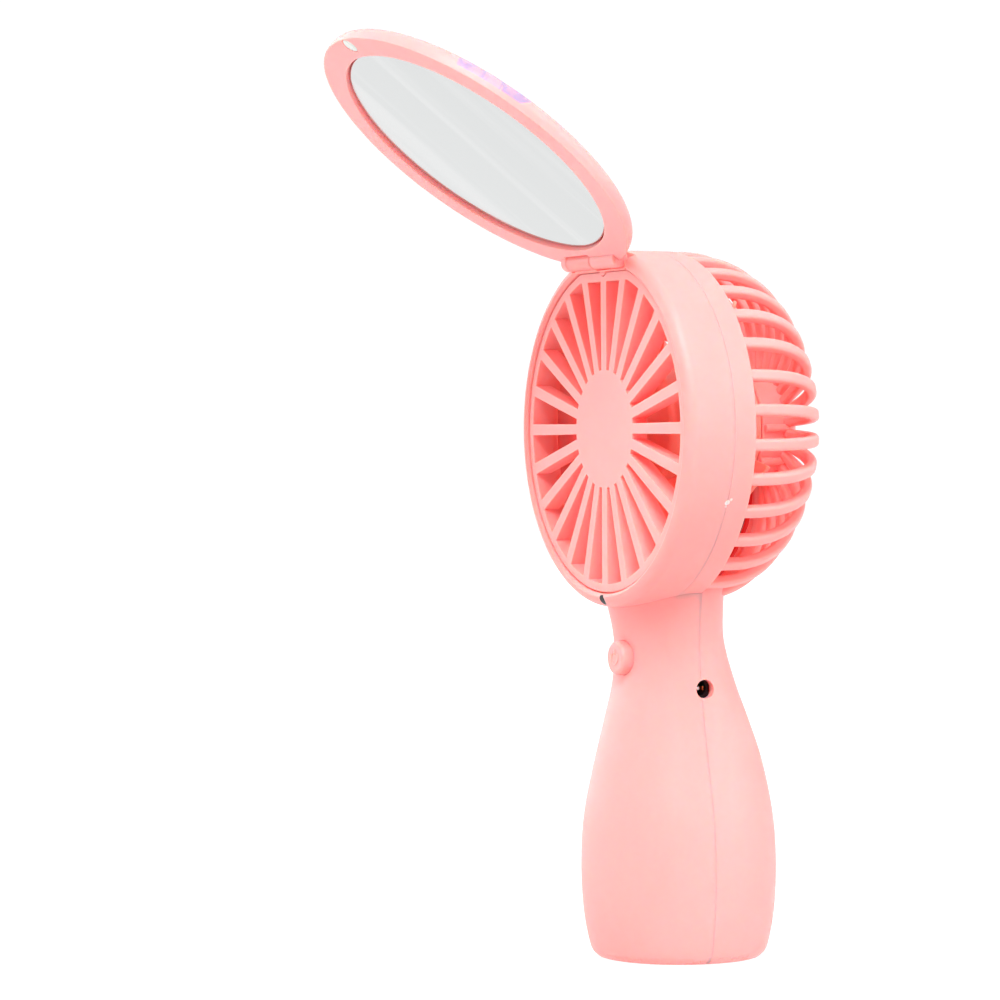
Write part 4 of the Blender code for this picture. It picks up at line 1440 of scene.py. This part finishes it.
    def build(self) -> None:
        """Builds the rear housing."""
        hub = self.at.hub
        grip = self.handle.half(front=False)
        rows = self.outline(self.rib_depth + 0.2)
        hollow = [(0.0, -60.0), (rows[0][0], -60.0)] + rows[1:-1] + [(0.0, rows[-1][1])]
        cut(grip, lathe("head_hollow", hollow, Axis.Y, hub, FINE))
        shell = join(grip, self.cage())
        y, z, radius = self.jack
        cut(shell, rod("jack_hole", radius, 11, CLEAR, Axis.X, (0, y, z), 64))
        for x in self.wire_holes:
            place = (x, self.wire_hole_y, 0)
            cut(shell, rod("wire_hole", self.wire_hole_r, *self.wire_hole_z, Axis.Z, place, 32))
        low, high = ((self.slot_x[i], self.slot_y[i], hub.z + self.slot_below[i]) for i in (0, 1))
        cut(shell, block("wire_slot", low, high))
        self.settle(shell, "housing_rear", "shell_pink", Body.HANDLE, Slot.SHELL, "rear_housing")
        for i, (x, z) in enumerate(self.handle.screws):
            self.settle(self.plug(x, z), f"screw_plug_{i + 1}", "button_pink", Body.HANDLE, Slot.SHELL)

    def plug(self, x: float, z: float) -> Thing:
        """The soft plug over a screw, flush with the grip.

        Args:
            x: Where the screw is.
            z: How high it is.

        Returns:
            The closed mesh object.
        """
        grip = self.handle
        plug = rod("plug", self.plug_r, grip.seat_y + 5.0, CLEAR, Axis.Y, (x, 0.0, z), 64)
        return combine(plug, grip.loft("plug_limit", grip.levels(0.6, grip.top), 0.04), Merge.KEEP)


@dataclass
class Grille(SubAssembly):
    """The front insert: a flat hub, straight spokes and a flat at the top."""

    outer_r: float = 39.0
    opening_r: float = 36.95
    hub_r: float = 14.05
    spokes: int = 24
    half_widths: tuple[float, float] = (1.2, 1.35)
    depth: float = 4.0
    hub_thick: float = 2.0
    chord: float = 37.2
    opening_chord: float = 35.1
    notch_r: float = 1.75
    edge_round: float = 0.22

    def plate(self) -> Thing:
        """The disc that the openings are cut from, with its rim behind and a thinner hub.

        Returns:
            The closed mesh object.
        """
        front = self.at.face
        outer, rim, back = self.outer_r, self.opening_r + 0.05, front + 5.5
        profile = [(0, front), (outer - 0.35, front), (outer - 0.1, front + 0.1), (outer, front + 0.35),
                   (outer, back), (rim, back), (rim, front + self.depth),
                   (self.hub_r - 1.0, front + self.depth), (self.hub_r - 1.2, front + self.hub_thick),
                   (0, front + self.hub_thick)]
        return lathe("grille", profile, Axis.Y, self.at.hub, FINE)

    def opening(self) -> Thing:
        """The cutter for one opening, drawn flat at half a pitch and extruded backwards.

        Returns:
            The closed mesh object.
        """
        centre = math.pi / self.spokes
        inner = centre - math.asin(self.half_widths[0] / self.hub_r)
        outer = centre - math.asin(self.half_widths[1] / self.opening_r)
        corners = []
        for radius, reach, count in ((self.hub_r, inner, 2), (self.opening_r, -outer, 6)):
            for i in range(count + 1):
                angle = centre + reach * (1 - 2 * i / count)
                corners.append((radius, angle))
        y = self.at.face - 2.0
        points = [Vector((r * math.cos(a), y, self.at.hub.z + r * math.sin(a))) for r, a in corners]
        thing = chain("opening", points, closed=True)
        with editing(thing, "EDGE", everything=True):
            bpy.ops.mesh.edge_face_add()
            bpy.ops.mesh.select_all(action="SELECT")
            bpy.ops.mesh.extrude_region_move(TRANSFORM_OT_translate={"value": (0.0, 12.0, 0.0)})
        return clean(thing, outward=True)

    def build(self) -> None:
        """Builds the grille."""
        hub = self.at.hub
        grille = self.plate()
        openings = round_copies(self.opening(), [360 / self.spokes * i for i in range(self.spokes)], hub)
        top = hub.z + self.opening_chord
        with editing(openings, everything=True):
            bpy.ops.mesh.bisect(plane_co=(0, 0, top), plane_no=(0, 0, 1), use_fill=True, clear_outer=True)
        clean(openings, outward=True)
        cut(grille, openings)
        flat = hub.z + self.chord
        cut(grille, block("top", (-30, -40, flat), (30, 0, flat + 30)),
            rod("key_notch", self.notch_r, -CLEAR, 0, Axis.Y, (0, 0, flat + 0.8), 48))
        front = self.at.face
        with editing(grille, "EDGE"):
            select_edges(grille, lambda e: is_sharp(e) and all(abs(v.co.y - front) < 0.01 for v in e.verts))
            bpy.ops.mesh.bevel(offset=self.edge_round, segments=3, clamp_overlap=True)
        self.settle(clean(grille), "grille", "grille_pink", Body.HANDLE, Slot.SHELL, "front_grille")


@dataclass
class Impeller(SubAssembly):
    """The hub cup and its twisted blades, on the rotor."""

    hub_r: float = 14.0
    front: float = -9.0
    rear: float = 15.3
    wall: float = 1.3
    blade_r: float = 36.0
    blades: int = 5
    first: float = 49.0
    bore: float = 1.25
    grid: tuple[int, int] = (18, 16)
    middle: float = -0.8
    rise: tuple[float, float] = (13.5, 12.0)
    dish: float = 2.2
    spread: tuple[float, float] = (50.0, 54.0)
    sweep: float = 10.0
    tip_round: float = 0.10
    thick: float = 1.0

    def cup(self) -> Thing:
        """The hub, with its round nose and the boss that the shaft goes into.

        Returns:
            The closed mesh object.
        """
        inner = self.hub_r - self.wall
        profile = [(0, self.front)] + arc(self.hub_r - 2.0, self.front + 2.0, 2.0, -90, 0, 8)
        profile += [(self.hub_r, self.rear), (inner, self.rear), (inner, self.front + 2.6),
                    (inner - 0.8, self.front + 1.8), (3.0, self.front + 1.8), (3.0, -1.6), (self.bore, -1.6),
                    (self.bore, self.front + 2.4), (0, self.front + 2.4)]
        return lathe("impeller", profile, Axis.Y, self.at.hub, 128)

    def blade(self) -> Thing:
        """One twisted blade, bent from a grid and given its thickness and round edges.

        Returns:
            The closed mesh object.
        """
        deselect_all()
        bpy.ops.mesh.primitive_grid_add(x_subdivisions=self.grid[0], y_subdivisions=self.grid[1], size=1.0)
        thing = bpy.context.object
        start = self.hub_r - 0.7
        for vert in thing.data.vertices:
            t, s = vert.co.x + 0.5, vert.co.y + 0.5
            radius = start + (self.blade_r - start - 0.25) * t
            spread = self.spread[0] + (self.spread[1] - self.spread[0]) * t
            spread *= 1.0 - self.tip_round * max(0.0, t - 0.75) * 4
            rise = self.rise[0] + (self.rise[1] - self.rise[0]) * t
            angle = math.radians(spread * (s - 0.5) + self.sweep * t)
            vert.co = (radius * math.cos(angle),
                       self.middle + rise * (s - 0.5) - self.dish * math.sin(math.pi * s),
                       self.at.hub.z + radius * math.sin(angle))
        apply_modifier(thing, "SOLIDIFY", thickness=self.thick, offset=0.0)
        apply_modifier(thing, "BEVEL", width=0.28, segments=3, limit_method="ANGLE",
                       angle_limit=math.radians(50))
        return clean(thing, outward=True)

    def build(self) -> None:
        """Builds the impeller."""
        angles = [360 / self.blades * i + self.first for i in range(self.blades)]
        body = join(self.cup(), round_copies(self.blade(), angles, self.at.hub))
        self.settle(body, "fan_wheel", "blade_pink_shade_tint", Body.ROTOR, Slot.BLADE, "impeller")


@dataclass
class Lid(SubAssembly):
    """The lid and its mirror, modelled shut and then turned open about the hinge."""

    reach: float = 40.2
    radius: float = 42.15
    edge: float = 4.4
    crown: float = 5.3
    fillet: float = 3.0
    rim_y: float = 0.5
    recess_r: float = 35.7
    recess: float = 3.9
    mirror_r: float = 35.45
    mirror_sink: float = 0.95
    mirror_thick: float = 1.5
    knuckle_r: float = 2.1
    knuckles: tuple[tuple[float, float], ...] = ((-14.4, -12.05), (0.1, 11.7))
    notch: tuple[float, float] = (-12.0, 0.0)
    magnet_row: float = 39.8
    magnet_r: float = 2.0
    pin_bore: float = 1.05
    print_from: float = 0.8

    def opened(self, thing: Thing) -> Thing:
        """Turns a piece that was modelled shut to where the lid stands open."""
        return turn(thing, -self.at.lid_open, Axis.X, self.at.hinge)

    def centre(self) -> Vector:
        """The lid's centre when it is shut, on its rim's plane."""
        return Vector((0.0, self.at.hinge.y + self.rim_y, self.at.hinge.z - self.reach))

    def inward(self, profile: Profile) -> list[tuple[float, float]]:
        """Turns heights above the rim into places along Y, which runs the other way."""
        return [(r, -h) for r, h in profile]

    def build(self) -> None:
        """Builds the lid, the mirror and the lid's magnet."""
        self.cover()
        centre, sink = self.centre(), self.mirror_sink
        bottom = sink + self.mirror_thick
        r = self.mirror_r
        glass = [(0, -sink), (r - 0.5, -sink), (r - 0.12, -sink - 0.14), (r, -sink - 0.4), (r, -bottom),
                 (0, -bottom)]
        self.settle(self.opened(lathe("glass", glass, Axis.Y, centre, FINE)), "mirror_disc", "mirror_silver",
                    Body.LID, Slot.MIRROR, "mirror", angle=25.0)
        r = self.magnet_r
        magnet = [(0, -0.03), (r - 0.2, -0.03), (r - 0.05, -0.09), (r, -0.2), (r, -1.6), (0, -1.6)]
        place = centre - Vector((0, 0, self.magnet_row))
        self.settle(self.opened(lathe("magnet", magnet, Axis.Y, place, 48)), "lid_magnet_disc",
                    "magnet_nickel", Body.LID, Slot.MAGNET, "lid_magnet")

    def cover(self) -> None:
        """The lid's moulding."""
        hinge = self.at.hinge
        bulge, crown_r = self.crown - self.edge, self.radius - self.fillet
        outer = [(self.radius - 0.4, 0.0), (self.radius - 0.1, 0.1), (self.radius, 0.4)]
        outer += arc(crown_r, self.edge - self.fillet, self.fillet, 0, 86, 14)
        outer += [(r, self.edge + bulge * (1 - (r / crown_r) ** 2)) for r in (34, 28, 21, 14, 7, 0)]
        wall = self.recess_r
        inner = [(0, self.recess), (wall, self.recess), (wall, 0.35), (wall + 0.1, 0.1), (wall + 0.35, 0.0)]
        lid = lathe("lid", self.inward(inner + outer), Axis.Y, self.centre(), FINE)
        for left, right in self.knuckles:
            join(lid, rod("knuckle", self.knuckle_r, left, right, Axis.X, (0, hinge.y, hinge.z), 64, 0.2))
        left, right = self.notch
        cut(lid, block("notch", (left, hinge.y - 8, hinge.z - self.knuckle_r - 0.7),
                       (right, hinge.y + 4, hinge.z + 6), 0.25, 2),
            rod("pin_bore", self.pin_bore, -16, 10.8, Axis.X, (0, hinge.y, hinge.z), 32),
            rod("magnet_hole", self.magnet_r + 0.12, self.rim_y - 1.9, self.rim_y + 2, Axis.Y,
                (0, hinge.y, self.centre().z - self.magnet_row), 48))
        self.settle(self.opened(lid), "lid_cover", "lid_pink", Body.LID, Slot.SHELL, "lid")


@dataclass
class Controls(HeadPiece):
    """The power button with its raised sign, and the magnet in the bezel."""

    button_z: float = 71.8
    button_r: float = 4.1
    button_y: float = -17.3
    flange: tuple[float, float, float] = (5.1, -11.3, -10.4)
    edge_round: float = 0.95
    sign_r: float = 1.55
    sign_line: float = 0.17
    sign_lift: float = 0.02
    sign_gap: float = 76.0
    magnet_r: float = 1.15
    magnet_sunk: float = 0.04
    bend_r: float = 39.5

    def button(self) -> Thing:
        """The button's cap with a dished face and round edge.

        Returns:
            The closed mesh object.
        """
        y, r = self.button_y, self.button_r
        profile = [(0, y + 0.10), (1.4, y + 0.085), (2.4, y + 0.04), (r - 1.0, y)]
        profile += arc(r - self.edge_round, y + self.edge_round, self.edge_round, -86, 0, 8)
        flange_r, front, back = self.flange
        profile += [(r, front), (flange_r, front), (flange_r, back), (0, back)]
        return lathe("button", profile, Axis.Y, (0, 0, self.button_z), 96)

    def sign(self) -> list[Thing]:
        """The raised power sign: a ring with a gap at the top and a bar in the gap.

        Returns:
            The ring and the bar.
        """
        deselect_all()
        y = self.button_y + self.sign_lift
        bpy.ops.mesh.primitive_circle_add(vertices=16, radius=self.sign_line, fill_type="NGON",
                                          location=(self.sign_r, y, self.button_z))
        ring = bpy.context.object
        bpy.ops.object.transform_apply(location=True, rotation=False, scale=False)
        turn(ring, -90.0 - self.sign_gap / 2, Axis.Y, Vector((0, 0, self.button_z)))
        with editing(ring, "FACE", everything=True):
            bpy.ops.mesh.spin(steps=48, angle=math.radians(360.0 - self.sign_gap),
                              center=(0, 0, self.button_z), axis=(0, 1, 0))
        clean(ring, outward=True)
        low, high = self.button_z + 0.75, self.button_z + 2.0
        bar = rod("bar", self.sign_line, low, high, Axis.Z, (0, y, 0), 16, 0.06)
        return [ring, bar]

    def build(self) -> None:
        """Builds the button and the magnet."""
        self.settle(join(self.button(), *self.sign()), "button_cap", "button_pink", Body.BUTTON, Slot.SHELL,
                    "power_button")
        bezel, sunk = self.at.face - self.proud, self.magnet_sunk
        bend = arc(self.bend_r, bezel + self.fillet, self.fillet - sunk, -90, 0, 24)
        crown = [(36, bezel + 5), (36, bezel + sunk), *bend, (bend[-1][0], bezel + 5)]
        place = (0, 0, self.at.hub.z - self.magnet_row)
        magnet = rod("magnet", self.magnet_r, bezel - 1, bezel + 3, Axis.Y, place)
        combine(magnet, lathe("crown", crown, Axis.Y, self.at.hub, FINE, closed=True), Merge.KEEP)
        self.settle(magnet, "bezel_magnet_disc", "magnet_ferrite", Body.HANDLE, Slot.MAGNET, "bezel_magnet")


@dataclass
class InnerParts:
    """The frame's own nodes that stay as they are and get their finishes."""

    paint: PaintShop
    finishes: dict[str, tuple[str, ...]] = field(default_factory=lambda: {
        "plated_steel": ("hinge_pin", "motor_shaft", "motor_can", "dc_jack_pin", "battery_cap",
                         "housing_screw_neck", "housing_screw_left", "housing_screw_right",
                         "board_screw_lower", "board_screw_upper"),
        "brass": ("motor_terminal_left", "motor_terminal_right", "dc_jack_contact"),
        "black_plastic": ("motor_end_cap", "tact_switch_body", "tact_switch_plunger", "charge_chip",
                          "dc_jack_body"),
        "wire_red": ("motor_lead_red", "battery_lead_red"),
        "wire_black": ("motor_lead_black", "battery_lead_black"),
        "board_green": ("circuit_board",),
        "cell_sleeve": ("battery_cell",),
        "foam_tape": ("battery_foam_pad", "mirror_adhesive_pad"),
    })

    def dress(self, nodes: dict[str, Thing]) -> None:
        """Gives each node its finish.

        Args:
            nodes: The frame's own objects by name.
        """
        for finish, names in self.finishes.items():
            for name in names:
                mesh = nodes[name].data
                mesh.materials.clear()
                mesh.materials.append(self.paint[finish])
                LOG.info("%s: %s", name, finish)


# ---------------------------------------------------------------- studio


@dataclass
class Studio:
    """The floor, the light and the camera."""

    azimuth: float = 63.36
    pitch: float = -0.87
    roll: float = 0.315
    aside: float = 24.76
    above: float = 16.93
    distance: float = 865.4
    lens: float = 130.824
    aim: tuple[float, float, float] = (0.0, -19.8, 126.5)
    floor_r: float = 3.0
    floor_drop: float = 0.0002
    floor_grey: tuple[Colour, Colour] = ((0.19, 0.19, 0.19, 1.0), (0.21, 0.21, 0.21, 1.0))
    glow: float = 0.90
    surround: float = 0.78
    seen_more: float = 0.27
    suns: tuple[tuple[float, float, float, float], ...] = (
        (57.0, 48.0, 4.4, 36.0), (-70.0, 10.0, 1.45, 60.0), (135.0, 20.0, 1.2, 50.0))

    def floor(self) -> None:
        """A wide white acrylic floor that is lit a little from below, as on a light table."""
        deselect_all()
        bpy.ops.mesh.primitive_circle_add(vertices=96, radius=self.floor_r, fill_type="NGON",
                                          location=(0, 0, -self.floor_drop))
        thing = bpy.context.object
        thing.name = "studio_floor"
        with editing(thing, "FACE", everything=True):
            bpy.ops.mesh.inset(thickness=0.2)
        made = bpy.data.materials.new("floor_white")
        made.use_nodes = True
        g = Graph(made.node_tree)
        shader = g.node("BsdfPrincipled", {"Roughness": 0.85, "Emission Color": WHITE,
                                           "Emission Strength": self.glow})
        g.node("OutputMaterial", {"Surface": shader.outputs[0]})
        place = g.node("TexCoord").outputs["Object"]
        g.feed(shader.inputs["Base Color"], g.mix(g.noise(place, 3.0), *self.floor_grey))
        thing.data.materials.append(made)

    def sun(self, azimuth: float, elevation: float, strength: float, spread: float) -> None:
        """A wide soft light from far away, which lights the floor evenly.

        Args:
            azimuth: Degrees from the front towards the right.
            elevation: Degrees above the horizon.
            strength: Watts to the square metre.
            spread: How wide it shines from, in degrees.
        """
        a, e = math.radians(azimuth), math.radians(elevation)
        away = Vector((math.sin(a) * math.cos(e), -math.cos(a) * math.cos(e), math.sin(e)))
        data = bpy.data.lights.new("wide_light", "SUN")
        data.energy, data.angle = strength, math.radians(spread)
        lamp = bpy.data.objects.new("wide_light", data)
        lamp.location = away * 2.0
        lamp.rotation_euler = (-away).to_track_quat("-Z", "Y").to_euler()
        bpy.context.scene.collection.objects.link(lamp)

    def sky(self) -> None:
        """An even white surround: full white to the eye, a little less as light."""
        world = bpy.data.worlds.new("surround")
        bpy.context.scene.world = world
        world.use_nodes = True
        g = Graph(world.node_tree)
        seen = g.node("LightPath").outputs["Is Camera Ray"]
        strength = g.plus(self.surround, seen, self.seen_more)
        shine = g.node("Background", {"Color": WHITE, "Strength": strength})
        g.node("OutputWorld", {"Surface": shine.outputs[0]})

    def camera(self) -> None:
        """The camera, level with the head and from the front right."""
        a, p, r = (math.radians(v) for v in (self.azimuth, self.pitch, self.roll))
        side = Vector((math.cos(a), math.sin(a), 0.0))
        ahead = Vector((-math.sin(a) * math.cos(p), math.cos(a) * math.cos(p), math.sin(p)))
        over = Vector((math.sin(a) * math.sin(p), -math.cos(a) * math.sin(p), math.cos(p)))
        right = side * math.cos(r) - over * math.sin(r)
        up = side * math.sin(r) + over * math.cos(r)
        stand = Vector(self.aim) - right * self.aside - up * self.above - ahead * self.distance
        data = bpy.data.cameras.new("camera")
        data.lens, data.sensor_width = self.lens, 36.0
        data.clip_start, data.clip_end = 0.05, 50.0
        camera = bpy.data.objects.new("camera", data)
        turned = Matrix((right, up, -ahead)).transposed()
        camera.matrix_world = Matrix.Translation(stand * MM) @ turned.to_4x4()
        bpy.context.scene.collection.objects.link(camera)
        bpy.context.scene.camera = camera

    def build(self) -> None:
        """Sets up the studio."""
        self.floor()
        self.sky()
        for sun in self.suns:
            self.sun(*sun)
        self.camera()
        bpy.context.scene.view_settings.view_transform = "Standard"
        bpy.context.scene.cycles.diffuse_bounces = 10


def lid_flattener(at: Anchors, reach: float) -> Matrix:
    """The move, in metres, from the open lid to a flat lid that is centred on the origin.

    Args:
        at: The frame's places.
        reach: From the hinge to the lid's centre, in millimetres.

    Returns:
        The matrix of the move.
    """
    hinge = Matrix.Translation(at.hinge * MM)
    shut = hinge @ Matrix.Rotation(math.radians(at.lid_open), 4, "X") @ hinge.inverted()
    centre = Vector((0.0, at.hinge.y, at.hinge.z - reach)) * MM
    return Matrix.Translation(-centre) @ shut


def main(loaded: dict[str, Any]) -> None:
    """Builds the fan's pieces, dresses the frame's nodes and sets up the studio.

    Args:
        loaded: What the frame holds.
    """
    logging.basicConfig(level=logging.INFO, format="%(name)s %(message)s")
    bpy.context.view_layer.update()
    at = Anchors.read(loaded)
    gate_turn = math.radians(GATE_TURN)
    gate = (BAND_R * math.cos(gate_turn) * MM, GATE_Y * MM, (at.hub.z + BAND_R * math.sin(gate_turn)) * MM)
    paint = PaintShop(gate, lid_flattener(at, Lid.reach), -Lid.print_from * MM)
    for assembly in (FrontShell, RearShell, Grille, Impeller, Lid, Controls):
        assembly(at, paint).build()
    InnerParts(paint).dress(loaded["nodes"])
    Studio().build()


if __name__ == "__main__":
    main(frame)
